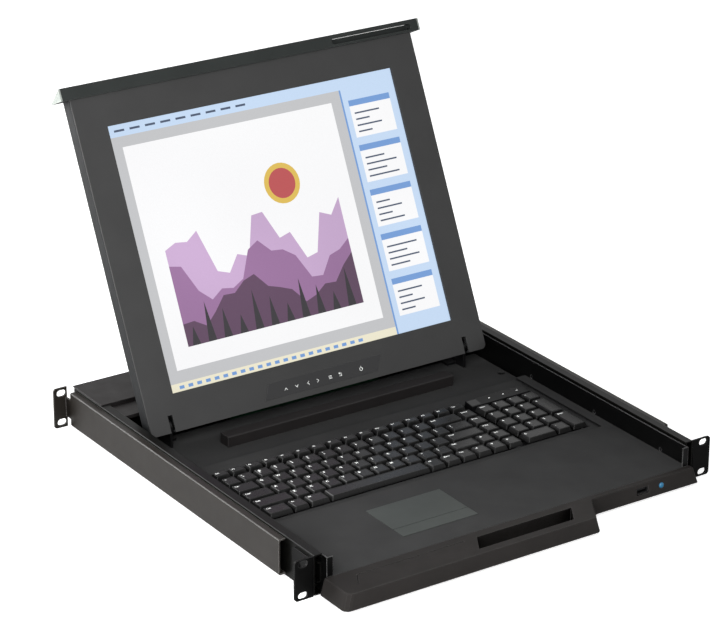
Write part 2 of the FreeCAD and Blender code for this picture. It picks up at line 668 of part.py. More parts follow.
# ---- Tray and deck ---------------------------------------------------------------------------
def tray_pan():
    """Folded sheet tray: floor, side walls with front returns, rear wall and low front lip."""
    half = TRAY_HALF_WIDTH
    pan = prism_y(rounded_outline([(-half, TRAY_BOTTOM_Z, TRAY_SHEET),
                                   (half, TRAY_BOTTOM_Z, TRAY_SHEET),
                                   (half, TRAY_WALL_TOP_Z, 0), (-half, TRAY_WALL_TOP_Z, 0)]),
                  TRAY_FRONT_Y, TRAY_REAR_Y)
    hollow = box(TRAY_SHEET - half, half - TRAY_SHEET, TRAY_FRONT_Y + TRAY_SHEET,
                 TRAY_REAR_Y - TRAY_SHEET, TRAY_FLOOR_Z, TRAY_WALL_TOP_Z + TRAY_SHEET)
    mouth = box(TRAY_SHEET - half, half - TRAY_SHEET, TRAY_FRONT_Y - TRAY_SHEET,
                TRAY_FRONT_Y + 2 * TRAY_SHEET, TRAY_LIP_TOP_Z, TRAY_WALL_TOP_Z + TRAY_SHEET)
    rear_top = box(TRAY_SHEET - half, half - TRAY_SHEET, TRAY_REAR_Y - 2 * TRAY_SHEET,
                   TRAY_REAR_Y + TRAY_SHEET, TRAY_WALL_TOP_Z - TRAY_SHEET,
                   TRAY_WALL_TOP_Z + TRAY_SHEET)
    pan = pan.cut([hollow, mouth, rear_top])
    wall_return = box(DISPLAY_HALF_WIDTH + DISPLAY_CLEARANCE, half - TRAY_SHEET / 2, TRAY_FRONT_Y,
                      TRAY_FRONT_Y + TRAY_SHEET, DECK_TOP_Z + SEAM_GAP, TRAY_WALL_TOP_Z)
    pan = pan.fuse([wall_return, mirrored(wall_return)]).removeSplitter()
    holes = [tray_screw_hole(x, y) for x, y in DECK_POSTS]
    for y in slide_screw_ys():
        holes.append(faceted_bar((-half - TRAY_SHEET, y, 0), (1, 0, 0), EAR_SCREW_R + THREAD_GAP,
                                 2 * (half + TRAY_SHEET), HIDDEN_SIDES))
    holes.append(box(-CABLE_SLOT_LENGTH / 2, CABLE_SLOT_LENGTH / 2, TRAY_REAR_Y - 2 * TRAY_SHEET,
                     TRAY_REAR_Y + TRAY_SHEET, -CABLE_SLOT_WIDTH / 2, CABLE_SLOT_WIDTH / 2))
    return pan.cut(holes)


def tray_screw_hole(x, y):
    """Hole in the tray floor under one deck post."""
    return faceted_bar((x, y, TRAY_BOTTOM_Z - TRAY_SHEET), (0, 0, 1), EAR_SCREW_R + THREAD_GAP,
                       3 * TRAY_SHEET, HIDDEN_SIDES)


def tray_rear_cover():
    """Narrow cover plate over the cable space at the tray's rear."""
    half = TRAY_HALF_WIDTH - TRAY_SHEET - SEAM_GAP
    front = TRAY_REAR_Y - REAR_COVER_DEPTH
    plate = box(-half, half, front, TRAY_REAR_Y, TRAY_WALL_TOP_Z - TRAY_SHEET, TRAY_WALL_TOP_Z)
    apron = box(-half, half, front, front + TRAY_SHEET, TRAY_WALL_TOP_Z - REAR_COVER_APRON,
                TRAY_WALL_TOP_Z)
    return plate.fuse(apron).removeSplitter()


def deck_profile():
    """Deck section from front to rear: palm rest, sunken key area, well under the hinge."""
    front = TRAY_FRONT_Y + SEAM_GAP
    top = [(front, DECK_TOP_Z), (DECK_RECESS_FRONT_Y, DECK_TOP_Z),
           (DECK_RECESS_FRONT_Y + DECK_SLOPE_RUN, RECESS_Z), (DECK_RECESS_REAR_Y, RECESS_Z),
           (DECK_RECESS_REAR_Y + 2 * DECK_SLOPE_RUN, DECK_WELL_Z), (DECK_REAR_Y, DECK_WELL_Z)]
    under = [(y, z - DECK_SHEET) for y, z in reversed(top)]
    return top + under


def deck_border(x0, x1):
    """Level strip beside the sunken key area, at the palm rest's height."""
    return box(x0, x1, DECK_RECESS_FRONT_Y, DECK_RECESS_REAR_Y, RECESS_Z - DECK_SHEET, DECK_TOP_Z)


def deck_plate():
    """Moulded deck with key, touchpad, lock and screw-post details."""
    half = TRAY_HALF_WIDTH - TRAY_SHEET - SEAM_GAP
    deck = prism_x(deck_profile(), -half, half)
    deck = deck.fuse([deck_border(-half, -DECK_RECESS_HALF_WIDTH),
                      deck_border(DECK_RECESS_HALF_WIDTH, half)])
    deck = deck.cut([key_opening(), touchpad_opening(), front_lip_relief()])
    for x, y in DECK_POSTS:
        deck = deck.fuse(faceted_bar((x, y, TRAY_FLOOR_Z), (0, 0, 1), DECK_POST_R,
                                     deck_underside(y) - TRAY_FLOOR_Z, HIDDEN_SIDES))
        deck = deck.cut(faceted_bar((x, y, TRAY_FLOOR_Z - TRAY_SHEET), (0, 0, 1),
                                    EAR_SCREW_R + THREAD_GAP, POST_THREAD + TRAY_SHEET,
                                    HIDDEN_SIDES))
    holes = [cylinder((side * LOCK_HOLE_X, LOCK_HOLE_Y, DECK_WELL_Z - 2 * DECK_SHEET), (0, 0, 1),
                      LOCK_HOLE_R, 4 * DECK_SHEET) for side in (-1, 1)]
    return deck.cut(holes).removeSplitter()


def deck_underside(y):
    """Height of the deck's underside at a distance from the front."""
    if y < DECK_RECESS_FRONT_Y:
        return DECK_TOP_Z - DECK_SHEET
    return DECK_WELL_Z - DECK_SHEET


def key_opening():
    """Cutter for the keyboard opening in the deck."""
    half = KEYBOARD_HALF_WIDTH + KEYBOARD_MARGIN
    return box(-half, half, KEYBOARD_FRONT_Y, KEYBOARD_REAR_Y, DECK_WELL_Z, DECK_TOP_Z)


def touchpad_opening():
    """Cutter for the touchpad opening in the palm rest."""
    return box(PAD_LEFT_X, PAD_LEFT_X + PAD_WIDTH, PAD_FRONT_Y, PAD_REAR_Y,
               DECK_TOP_Z - 2 * DECK_SHEET, DECK_TOP_Z + DECK_SHEET)


def front_lip_relief():
    """Cutter that lets the deck's front edge drop behind the tray's front lip."""
    return box(-TRAY_HALF_WIDTH, TRAY_HALF_WIDTH, TRAY_FRONT_Y, TRAY_FRONT_Y + TRAY_SHEET,
               TRAY_BOTTOM_Z, TRAY_LIP_TOP_Z)


def tray_screws():
    """Flush screws from below into the deck posts and through the tray walls into the slides."""
    screws = []
    for x, y in DECK_POSTS:
        screws.append(faceted_bar((x, y, TRAY_BOTTOM_Z), (0, 0, 1), EAR_SCREW_R,
                                  TRAY_SHEET + POST_THREAD - THREAD_GAP, HIDDEN_SIDES))
    for y in slide_screw_ys():
        screw = faceted_bar((TRAY_HALF_WIDTH - TRAY_SHEET, y, 0), (1, 0, 0), EAR_SCREW_R,
                            TRAY_SHEET + RAIL_SHEET, HIDDEN_SIDES)
        screws += [screw, mirrored(screw)]
    return screws


def cable_cover():
    """Open-bottomed cover over the cables in front of the display hinge."""
    rear = CABLE_COVER_FRONT_Y + CABLE_COVER_DEPTH
    outline = rounded_outline([(CABLE_COVER_FRONT_Y, DECK_WELL_Z, 0), (rear, DECK_WELL_Z, 0),
                               (rear, CABLE_COVER_TOP_Z, COVER_EDGE_R),
                               (CABLE_COVER_FRONT_Y, CABLE_COVER_TOP_Z, COVER_EDGE_R)])
    cover = prism_x(outline, CABLE_COVER_LEFT_X, CABLE_COVER_RIGHT_X)
    hollow = box(CABLE_COVER_LEFT_X + DECK_SHEET, CABLE_COVER_RIGHT_X - DECK_SHEET,
                 CABLE_COVER_FRONT_Y + DECK_SHEET, rear - DECK_SHEET, DECK_WELL_Z - DECK_SHEET,
                 CABLE_COVER_TOP_Z - DECK_SHEET)
    return cover.cut(hollow)


def build_tray():
    """The tray, its deck and covers."""
    save("tray_pan", tray_pan())
    save("deck_plate", deck_plate())
    save("tray_rear_cover", tray_rear_cover())
    save("cable_cover", cable_cover())
    save("tray_screws", *tray_screws())


# ---- Keyboard --------------------------------------------------------------------------------
def key_cap(x0, width, y0, depth):
    """One tapered key cap on its square stem; x0, y0 and the sizes include the key gap."""
    low = inset_rectangle(x0, x0 + width, y0, y0 + depth, KEY_GAP / 2)
    high = inset_rectangle(x0, x0 + width, y0, y0 + depth, KEY_GAP / 2 + KEY_TOP_INSET)
    cap = stacked_block([(low, KEY_BOTTOM_Z), (high, KEY_TOP_Z)])
    cx, cy = x0 + width / 2, y0 + depth / 2
    half = KEY_STEM / 2
    stem = box(cx - half, cx + half, cy - half, cy + half, KEY_BOTTOM_Z - KEY_STEM_LENGTH,
               KEY_BOTTOM_Z)
    return cap.fuse(stem)


def inset_rectangle(x0, x1, y0, y1, inset):
    """Corners of a rectangle drawn in by an inset."""
    return [(x0 + inset, y0 + inset), (x1 - inset, y0 + inset), (x1 - inset, y1 - inset),
            (x0 + inset, y1 - inset)]


def row_cells(start_x, row, widths, rows_tall=1):
    """Cells of a key row as (x, width, y, depth); row 0 is the front row."""
    cells = []
    x = start_x
    y = KEY_ROW_FRONT_Y + row * KEY_PITCH
    for units in widths:
        cells.append((x, units * KEY_PITCH, y, rows_tall * KEY_PITCH))
        x += units * KEY_PITCH
    return cells


def function_cells():
    """Cells of the short keys behind the number row."""
    return [(KEY_LEFT_X + i * KEY_PITCH, KEY_PITCH, FUNCTION_ROW_Y, FUNCTION_KEY_DEPTH)
            for i in range(int(MAIN_UNITS))]


def unit_x(units):
    """X of a distance in key units from the keyboard's left edge."""
    return KEY_LEFT_X + units * KEY_PITCH


def key_groups():
    """Cells of every group of keys that is kept as one node."""
    nav = [cell for row in range(MAIN_ROWS) for cell in row_cells(unit_x(15), row, [1.0])]
    arrows = row_cells(unit_x(14), 1, [1.0]) + row_cells(unit_x(13), 0, [1.0, 1.0])
    pad = []
    for row in range(MAIN_ROWS - 4, MAIN_ROWS):
        pad += row_cells(PAD_BLOCK_X, row, [1.0] * 3)
    pad += row_cells(PAD_BLOCK_X, 0, [2.0, 1.0])
    last_column = PAD_BLOCK_X + 3 * KEY_PITCH
    pad += row_cells(last_column, 4, [1.0])
    pad += row_cells(last_column, 2, [1.0], rows_tall=2)
    pad += row_cells(last_column, 0, [1.0], rows_tall=2)
    return {
        "function_keys": function_cells(),
        "number_keys": row_cells(unit_x(0), 4, [1.0] * 13 + [2.0]),
        "upper_keys": row_cells(unit_x(0), 3, [1.5] + [1.0] * 12 + [1.5]),
        "home_keys": row_cells(unit_x(0), 2, [1.75] + [1.0] * 11),
        "enter_key": row_cells(unit_x(12.75), 2, [2.25]),
        "lower_keys": row_cells(unit_x(0), 1, [2.25] + [1.0] * 10 + [1.75]),
        "bottom_keys": row_cells(unit_x(0), 0, [1.5, 1.0, 1.25])
        + row_cells(unit_x(10), 0, [1.0, 1.0, 1.0]),
        "space_bar": row_cells(unit_x(3.75), 0, [6.25]),
        "navigation_keys": nav + arrows,
        "numpad_keys": pad,
    }


def keyboard_frame(cells):
    """Keyboard base: guide plate with a slot per row of stems, walls and a top flange."""
    half = KEYBOARD_HALF_WIDTH + KEYBOARD_MARGIN
    top = RECESS_Z - DECK_SHEET
    outer = box(-half, half, KEYBOARD_FRONT_Y, KEYBOARD_REAR_Y, TRAY_FLOOR_Z, top)
    inner_half = half - KEYBOARD_WALL
    front = KEYBOARD_FRONT_Y + KEYBOARD_WALL
    rear = KEYBOARD_REAR_Y - KEYBOARD_WALL
    above = box(-inner_half, inner_half, front, rear, KEY_FLOOR_Z, top + DECK_SHEET)
    below = box(-inner_half, inner_half, front, rear, TRAY_FLOOR_Z - DECK_SHEET,
                KEY_FLOOR_Z - KEY_FLOOR_SHEET)
    flange = box(-half - KEYBOARD_FLANGE, half + KEYBOARD_FLANGE,
                 KEYBOARD_FRONT_Y - KEYBOARD_FLANGE, KEYBOARD_REAR_Y + KEYBOARD_FLANGE,
                 top - KEYBOARD_WALL, top)
    frame = outer.fuse(flange).cut([above, below])
    return frame.cut(stem_slots(cells, top)).removeSplitter()


def stem_slots(cells, top):
    """Cutters for the guide slots, one for each row of stems in each block of keys."""
    rows = {}
    for x, width, y, depth in cells:
        in_pad = x > PAD_BLOCK_X - BLOCK_GAP
        rows.setdefault((in_pad, round(y + depth / 2, 3)), []).append(x + width / 2)
    reach = KEY_STEM / 2 + KEY_STEM_GAP
    return [box(min(xs) - reach, max(xs) + reach, y - reach, y + reach,
                KEY_FLOOR_Z - 2 * KEY_FLOOR_SHEET, top) for (_, y), xs in rows.items()]


def indicator_window():
    """Strip above the number pad: body with a slanted front that carries the lock lights."""
    x0 = PAD_BLOCK_X + KEY_GAP / 2
    x1 = PAD_BLOCK_X + PAD_UNITS * KEY_PITCH - KEY_GAP / 2
    rear = KEYBOARD_REAR_Y - KEYBOARD_WALL - SEAM_GAP
    front = FUNCTION_ROW_Y - FUNCTION_ROW_GAP + KEY_GAP / 2
    low = KEY_FLOOR_Z
    outline = [(front, low), (rear, low), (rear, low + INDICATOR_HEIGHT + KEY_HEIGHT),
               (front + KEY_TOP_INSET, low + INDICATOR_HEIGHT + KEY_HEIGHT - KEY_GAP)]
    return prism_x(outline, x0, x1)


def build_keyboard():
    """Keys by group, the frame that guides them and the indicator strip."""
    groups = key_groups()
    for name, cells in groups.items():
        save(name, *[key_cap(*cell) for cell in cells])
    save("keyboard_frame", keyboard_frame([cell for cells in groups.values() for cell in cells]))
    save("indicator_window", indicator_window())


# ---- Touchpad --------------------------------------------------------------------------------
def touchpad():
    """Touchpad: a raised pad on a base plate that is held under the deck."""
    x0, x1 = PAD_LEFT_X, PAD_LEFT_X + PAD_WIDTH
    under = DECK_TOP_Z - DECK_SHEET
    base = box(x0 - PAD_FLANGE, x1 + PAD_FLANGE, PAD_FRONT_Y - PAD_FLANGE, PAD_REAR_Y + PAD_FLANGE,
               under - PAD_BASE_SHEET, under)
    pad = box(x0 + SEAM_GAP, x1 - SEAM_GAP, PAD_REAR_Y - PAD_PLATE_DEPTH, PAD_REAR_Y - SEAM_GAP,
              under, DECK_TOP_Z + PAD_RAISE)
    return base.fuse(pad).removeSplitter()


def button_bar():
    """Click bar in front of the touchpad, with a rib below its middle that it rocks on."""
    x0, x1 = PAD_LEFT_X + SEAM_GAP, PAD_LEFT_X + PAD_WIDTH - SEAM_GAP
    y0 = PAD_FRONT_Y + SEAM_GAP
    y1 = PAD_REAR_Y - PAD_PLATE_DEPTH - 2 * SEAM_GAP
    top = DECK_TOP_Z + PAD_RAISE
    bar = box(x0, x1, y0, y1, top - BUTTON_SHEET, top)
    centre_x = (x0 + x1) / 2
    rib_z = DECK_TOP_Z - DECK_SHEET + BUTTON_RIB_R + RUNNING_GAP
    rib = cylinder((centre_x, y0 + OVERSHOOT, rib_z), (0, 1, 0), BUTTON_RIB_R,
                   y1 - y0 - 2 * OVERSHOOT)
    return bar.fuse(rib)


def build_touchpad():
    """The touchpad and its click bar."""
    save("touchpad", touchpad())
    save("touchpad_button_bar", button_bar())


# ---- Front bezel -----------------------------------------------------------------------------
def bezel_outline(grow, side_grow):
    """Plan outline of the bezel, grown forward and sideways by the draft."""
    half = BEZEL_HALF_WIDTH + side_grow
    face = BEZEL_FACE_Y - grow
    front = HANDLE_FRONT_Y - grow / 2
    handle_x = HANDLE_RIGHT_X + grow
    slant = HANDLE_END_SLANT * (face - front)
    return rounded_outline([(-half, TRAY_FRONT_Y, 0), (half, TRAY_FRONT_Y, 0),
                            (half, face, BEZEL_END_R), (handle_x, face, HANDLE_CORNER_R),
                            (handle_x - slant, front, HANDLE_CORNER_R),
                            (-half, front, HANDLE_CORNER_R)])


def grip_outline(inset):
    """Plan outline of the slanted finger opening in the handle."""
    half = GRIP_LENGTH / 2 - inset
    lean = HANDLE_END_SLANT * (GRIP_REAR_Y - GRIP_FRONT_Y) / 2
    return [(GRIP_CENTRE_X - half - lean, GRIP_FRONT_Y + inset),
            (GRIP_CENTRE_X + half - lean, GRIP_FRONT_Y + inset),
            (GRIP_CENTRE_X + half + lean, GRIP_REAR_Y - inset),
            (GRIP_CENTRE_X - half + lean, GRIP_REAR_Y - inset)]


def groove_cutter():
    """Thin styling groove in the handle's top, turning forward at its left end."""
    z0 = DECK_TOP_Z - GROOVE_DEPTH
    z1 = DECK_TOP_Z + GROOVE_DEPTH
    long_run = box(GROOVE_LEFT_X, GROOVE_RIGHT_X, GRIP_REAR_Y - GROOVE_WIDTH, GRIP_REAR_Y, z0, z1)
    lean = HANDLE_END_SLANT * (GRIP_REAR_Y - GROOVE_FRONT_Y)
    turn = prism_z([(GROOVE_LEFT_X - lean, GROOVE_FRONT_Y),
                    (GROOVE_LEFT_X - lean + GROOVE_WIDTH, GROOVE_FRONT_Y),
                    (GROOVE_LEFT_X + GROOVE_WIDTH, GRIP_REAR_Y), (GROOVE_LEFT_X, GRIP_REAR_Y)],
                   z0, z1)
    return long_run.fuse(turn)


def front_bezel():
    """Moulded front with drafted faces, pull handle, groove, ribs and port openings."""
    bezel = stacked_block([(bezel_outline(BEZEL_DRAFT, BEZEL_SIDE_DRAFT), BEZEL_BOTTOM_Z),
                           (bezel_outline(0, 0), DECK_TOP_Z - BEZEL_EDGE),
                           (bezel_outline(-BEZEL_EDGE, -BEZEL_EDGE), DECK_TOP_Z)])
    grip = prism_z(grip_outline(0), BEZEL_BOTTOM_Z - BEZEL_WALL, DECK_TOP_Z + BEZEL_WALL)
    front = HANDLE_FRONT_Y - BEZEL_WALL
    rear = TRAY_FRONT_Y + OVERSHOOT
    usb = box(USB_CENTRE_X - USB_WIDTH / 2, USB_CENTRE_X + USB_WIDTH / 2, front, rear,
              USB_CENTRE_Z - USB_HEIGHT / 2, USB_CENTRE_Z + USB_HEIGHT / 2)
    recess = box(USB_CENTRE_X - USB_WIDTH / 2 - USB_FRAME, USB_CENTRE_X + USB_WIDTH / 2 + USB_FRAME,
                 front, BEZEL_FACE_Y - USB_SHELL, USB_CENTRE_Z - USB_HEIGHT / 2 - USB_FRAME,
                 USB_CENTRE_Z + USB_HEIGHT / 2 + USB_FRAME)
    led = faceted_bar((LED_X, front, LED_Z), (0, 1, 0), LED_R + THREAD_GAP, rear - front)
    return bezel.cut([grip, usb, recess, led, groove_cutter()])


def usb_port():
    """USB socket: metal shell with a plastic tongue, let into the bezel and the tray's lip."""
    half_w = USB_WIDTH / 2 - THREAD_GAP
    half_h = USB_HEIGHT / 2 - THREAD_GAP
    front = BEZEL_FACE_Y
    rear = TRAY_FRONT_Y
    x, z = USB_CENTRE_X, USB_CENTRE_Z
    shell = box(x - half_w, x + half_w, front, rear, z - half_h, z + half_h)
    inner_w, inner_h = half_w - USB_SHELL, half_h - USB_SHELL
    shell = shell.cut(box(x - inner_w, x + inner_w, front - OVERSHOOT, rear - USB_SHELL,
                          z - inner_h, z + inner_h))
    inset = USB_TONGUE_INSET
    tongue = box(x - inner_w + inset, x + inner_w - inset, front + inset, rear - USB_SHELL, z,
                 z + inner_h - inset)
    return shell.fuse(tongue)


def status_led():
    """Domed indicator lens in the bezel's right part."""
    length = TRAY_FRONT_Y - BEZEL_FACE_Y + BEZEL_DRAFT / 2
    body = regular_outline(LED_R, SCREW_SIDES)
    lens = stacked_block([(body, 0), (body, length),
                          (regular_outline(LED_R - LED_DOME, SCREW_SIDES), length + LED_DOME)])
    turn = FreeCAD.Rotation(Vector(0, 0, 1), Vector(0, -1, 0))
    lens.Placement = FreeCAD.Placement(Vector(LED_X, TRAY_FRONT_Y, LED_Z), turn)
    return lens


def build_front():
    """Front bezel with its port and light."""
    save("front_bezel", front_bezel())
    save("usb_port", usb_port())
    save("status_led", status_led())


# ---- Display ---------------------------------------------------------------------------------
def place_display(shape):
    """Move a display piece from the hinge-axis frame to its open position in the tray."""
    placed = shape.copy()
    placed.rotate(Vector(0, 0, 0), Vector(1, 0, 0), -DISPLAY_TILT)
    placed.translate(Vector(0, HINGE_Y, HINGE_Z))
    return placed


def hinge_slots():
    """Cutters that let the hinge plates swing through the display's lower edge."""
    slots = []
    for side in (-1, 1):
        x = side * HINGE_X
        slots.append(box(x - HINGE_SLOT_WIDTH / 2, x + HINGE_SLOT_WIDTH / 2,
                         -DISPLAY_FACE - DISPLAY_WALL, DISPLAY_BACK + DISPLAY_WALL,
                         -DISPLAY_BELOW_AXIS - DISPLAY_WALL, HINGE_SLOT_TOP))
    return slots


def display_outline():
    """Outline of the display seen from the front, rounded at the lower corners."""
    half = DISPLAY_HALF_WIDTH
    return rounded_outline([(-half, -DISPLAY_BELOW_AXIS, DISPLAY_CORNER_R),
                            (half, -DISPLAY_BELOW_AXIS, DISPLAY_CORNER_R),
                            (half, DISPLAY_ABOVE_AXIS, 0), (-half, DISPLAY_ABOVE_AXIS, 0)])


def display_front():
    """Display face frame with the screen window and hinge slots."""
    half = DISPLAY_HALF_WIDTH
    low, high = -DISPLAY_BELOW_AXIS, DISPLAY_ABOVE_AXIS
    rear = FACE_SHEET - DISPLAY_FACE
    plate = prism_y(display_outline(), -DISPLAY_FACE, rear - DISPLAY_SEAM)
    step = box(DISPLAY_SEAM - half, half - DISPLAY_SEAM, rear - DISPLAY_SEAM, rear,
               low + DISPLAY_CORNER_R, high - DISPLAY_SEAM)
    window = box(-SCREEN_WIDTH / 2, SCREEN_WIDTH / 2, -DISPLAY_FACE - DISPLAY_WALL,
                 rear + DISPLAY_WALL, SCREEN_ABOVE_AXIS, SCREEN_ABOVE_AXIS + SCREEN_HEIGHT)
    return plate.fuse(step).cut([window] + hinge_slots()).removeSplitter()


def display_back():
    """Display back cover: an open tray with rounded rear edges and board posts."""
    half = DISPLAY_HALF_WIDTH
    low, high = -DISPLAY_BELOW_AXIS, DISPLAY_ABOVE_AXIS
    front = FACE_SHEET - DISPLAY_FACE
    rear = DISPLAY_BACK
    section = rounded_outline([(-half, front, 0), (half, front, 0), (half, rear, DISPLAY_BACK_R),
                               (-half, rear, DISPLAY_BACK_R)])
    cover = prism_y(display_outline(), front, rear).common(prism_z(section, low, high))
    wall = DISPLAY_WALL
    hollow = box(wall - half, half - wall, front - wall, rear - wall, low + wall, high - wall)
    cover = cover.cut([hollow] + hinge_slots())
    for x, z in board_post_places():
        cover = cover.fuse(box(x - BOARD_FOOT / 2, x + BOARD_FOOT / 2,
                               rear - wall - BOARD_STANDOFF / 2, rear - wall,
                               z - BOARD_FOOT / 2, z + BOARD_FOOT / 2))
    return cover


def board_post_places():
    """Posts on the back cover that carry the driver board's corners."""
    edge = BOARD_EDGE + BOARD_FOOT / 2
    return [(x, z) for x in (edge - DRIVER_BOARD_HALF, DRIVER_BOARD_HALF - edge)
            for z in (DRIVER_BOARD_LOW + edge, DRIVER_BOARD_HIGH - edge)]


def display_driver_board():
    """Display driver board with a row of component blocks, behind the screen panel."""
    rear = DISPLAY_BACK - DISPLAY_WALL - BOARD_STANDOFF / 2
    board = box(-DRIVER_BOARD_HALF, DRIVER_BOARD_HALF, rear - BOARD_SHEET, rear,
                DRIVER_BOARD_LOW, DRIVER_BOARD_HIGH)
    middle = (DRIVER_BOARD_LOW + DRIVER_BOARD_HIGH) / 2
    for x in chip_xs(0, CONTROL_CHIPS):
        board = board.fuse(box(x - CHIP_WIDTH / 2, x + CHIP_WIDTH / 2, rear,
                               rear + BOARD_STANDOFF / 4, middle - CHIP_WIDTH / 2,
                               middle + CHIP_WIDTH / 2))
    return board


def lcd_panel():
    """Screen panel, seated against the rear of the display face."""
    half = SCREEN_WIDTH / 2 + PANEL_BORDER
    front = FACE_SHEET - DISPLAY_FACE
    low = SCREEN_ABOVE_AXIS - PANEL_BORDER
    return box(-half, half, front, front + PANEL_THICKNESS, low,
               SCREEN_ABOVE_AXIS + SCREEN_HEIGHT + PANEL_BORDER)


def nose_cover():
    """Wedge along the display's free edge, with a finger recess in the side below it."""
    low = DISPLAY_ABOVE_AXIS
    lip = -DISPLAY_FACE - NOSE_FORWARD
    outline = [(lip, low), (lip, low + NOSE_HEIGHT), (DISPLAY_BACK, low + EAR_SHEET / 2),
               (DISPLAY_BACK, low)]
    nose = prism_x(outline, NOSE_CAP - NOSE_HALF_WIDTH, NOSE_HALF_WIDTH - NOSE_CAP)
    recess = oblong_y(FINGER_CENTRE_X, low + FINGER_ABOVE_LIP + FINGER_HEIGHT / 2, FINGER_LENGTH,
                      FINGER_HEIGHT, lip - NOSE_CAP, lip + FINGER_DEPTH)
    return nose.cut(recess)


def nose_end_caps():
    """Thin end plates of the wedge."""
    low = DISPLAY_ABOVE_AXIS
    lip = -DISPLAY_FACE - NOSE_FORWARD
    outline = [(lip, low), (lip, low + NOSE_HEIGHT), (DISPLAY_BACK, low + EAR_SHEET / 2),
               (DISPLAY_BACK, low)]
    cap = prism_x(outline, NOSE_HALF_WIDTH - NOSE_CAP, NOSE_HALF_WIDTH)
    return [cap, mirrored(cap)]


def menu_overlay():
    """Thin slanted keypad overlay below the screen."""
    top = SCREEN_ABOVE_AXIS - MENU_TOP
    bottom = top - MENU_HEIGHT
    half = MENU_WIDTH / 2
    lean = MENU_SLANT / 2
    x = MENU_CENTRE_X
    outline = [(x - half - lean, bottom), (x + half - lean, bottom), (x + half + lean, top),
               (x - half + lean, top)]
    return prism_y(outline, -DISPLAY_FACE - MENU_SHEET, -DISPLAY_FACE)


def hinge_knuckle():
    """Display-side hinge leaf: eye plate beside the slot with a foot on the back cover."""
    x0 = HINGE_X + HINGE_SLOT_WIDTH / 2 + RUNNING_GAP
    x1 = x0 + KNUCKLE_SHEET
    eye = cylinder((x0, 0, 0), (1, 0, 0), HINGE_EYE_R - DISPLAY_WALL, KNUCKLE_SHEET)
    back = DISPLAY_BACK - DISPLAY_WALL
    leaf = box(x0, x1, DISPLAY_WALL - HINGE_EYE_R, back, 0, KNUCKLE_HEIGHT)
    foot = box(x0, x0 + KNUCKLE_FOOT, back - DISPLAY_WALL, back, DISPLAY_WALL, KNUCKLE_HEIGHT)
    bore = cylinder((x0 - OVERSHOOT, 0, 0), (1, 0, 0), HINGE_PIN_R + PIN_GAP,
                    KNUCKLE_SHEET + 2 * OVERSHOOT)
    return eye.fuse([leaf, foot]).cut(bore).removeSplitter()


def display_screws():
    """Screws through the back cover into the hinge leaves, heads outside."""
    screws = []
    for side in (-1, 1):
        x = side * (HINGE_X + HINGE_SLOT_WIDTH / 2 + RUNNING_GAP + KNUCKLE_FOOT / 2)
        for z in KNUCKLE_SCREWS:
            screws.append(faceted_bar((x, DISPLAY_BACK, z), (0, 1, 0), LID_SCREW_R,
                                      LID_SCREW_HEAD_T, HIDDEN_SIDES))
    return screws


def build_display():
    """Every piece that swings with the display."""
    save("display_front", place_display(display_front()))
    save("display_back", place_display(display_back()))
    save("lcd_panel", place_display(lcd_panel()))
    save("driver_board", place_display(display_driver_board()))
    save("nose_cover", place_display(nose_cover()))
    save("nose_end_caps", *[place_display(cap) for cap in nose_end_caps()])
    save("menu_overlay", place_display(menu_overlay()))
    save("display_screws", *[place_display(screw) for screw in display_screws()])
    save("hinge_knuckle_right", place_display(hinge_knuckle()))
    save("hinge_knuckle_left", place_display(mirrored(hinge_knuckle())))


# ---- Hinge stand -----------------------------------------------------------------------------
def hinge_bracket():
    """Tray-side hinge plate: a foot on the deck and an upright with a round eye."""
    x0, x1 = HINGE_X - HINGE_PLATE / 2, HINGE_X + HINGE_PLATE / 2
    front, rear = HINGE_Y - HINGE_EYE_R, HINGE_FOOT_REAR_Y
    foot_top = DECK_WELL_Z + HINGE_PLATE
    eye = cylinder((x0, HINGE_Y, HINGE_Z), (1, 0, 0), HINGE_EYE_R, HINGE_PLATE)
    upright = prism_x([(front, DECK_WELL_Z), (rear, DECK_WELL_Z), (rear, foot_top),
                       (HINGE_Y + HINGE_EYE_R, foot_top + HINGE_EYE_R),
                       (HINGE_Y + HINGE_EYE_R, HINGE_Z), (front, HINGE_Z)], x0, x1)
    foot = box(x1 - HINGE_FOOT, x1, rear - HINGE_FOOT_DEPTH, rear, DECK_WELL_Z, foot_top)
    bore = cylinder((x0 - OVERSHOOT, HINGE_Y, HINGE_Z), (1, 0, 0), HINGE_PIN_R + PIN_GAP,
                    HINGE_PLATE + 2 * OVERSHOOT)
    return eye.fuse([upright, foot]).cut(bore).removeSplitter()


def hinge_pins():
    """Plain pins through the tray-side and display-side eyes."""
    start = HINGE_X - HINGE_PLATE / 2 - OVERSHOOT / 2
    end = HINGE_X + HINGE_SLOT_WIDTH / 2 + RUNNING_GAP + KNUCKLE_SHEET + OVERSHOOT
    pin = cylinder((start, HINGE_Y, HINGE_Z), (1, 0, 0), HINGE_PIN_R, end - start)
    return [pin, mirrored(pin)]


def build_hinges():
    """Hinge stands and their pins."""
    save_pair("hinge_bracket", hinge_bracket())
    save("hinge_pins", *hinge_pins())


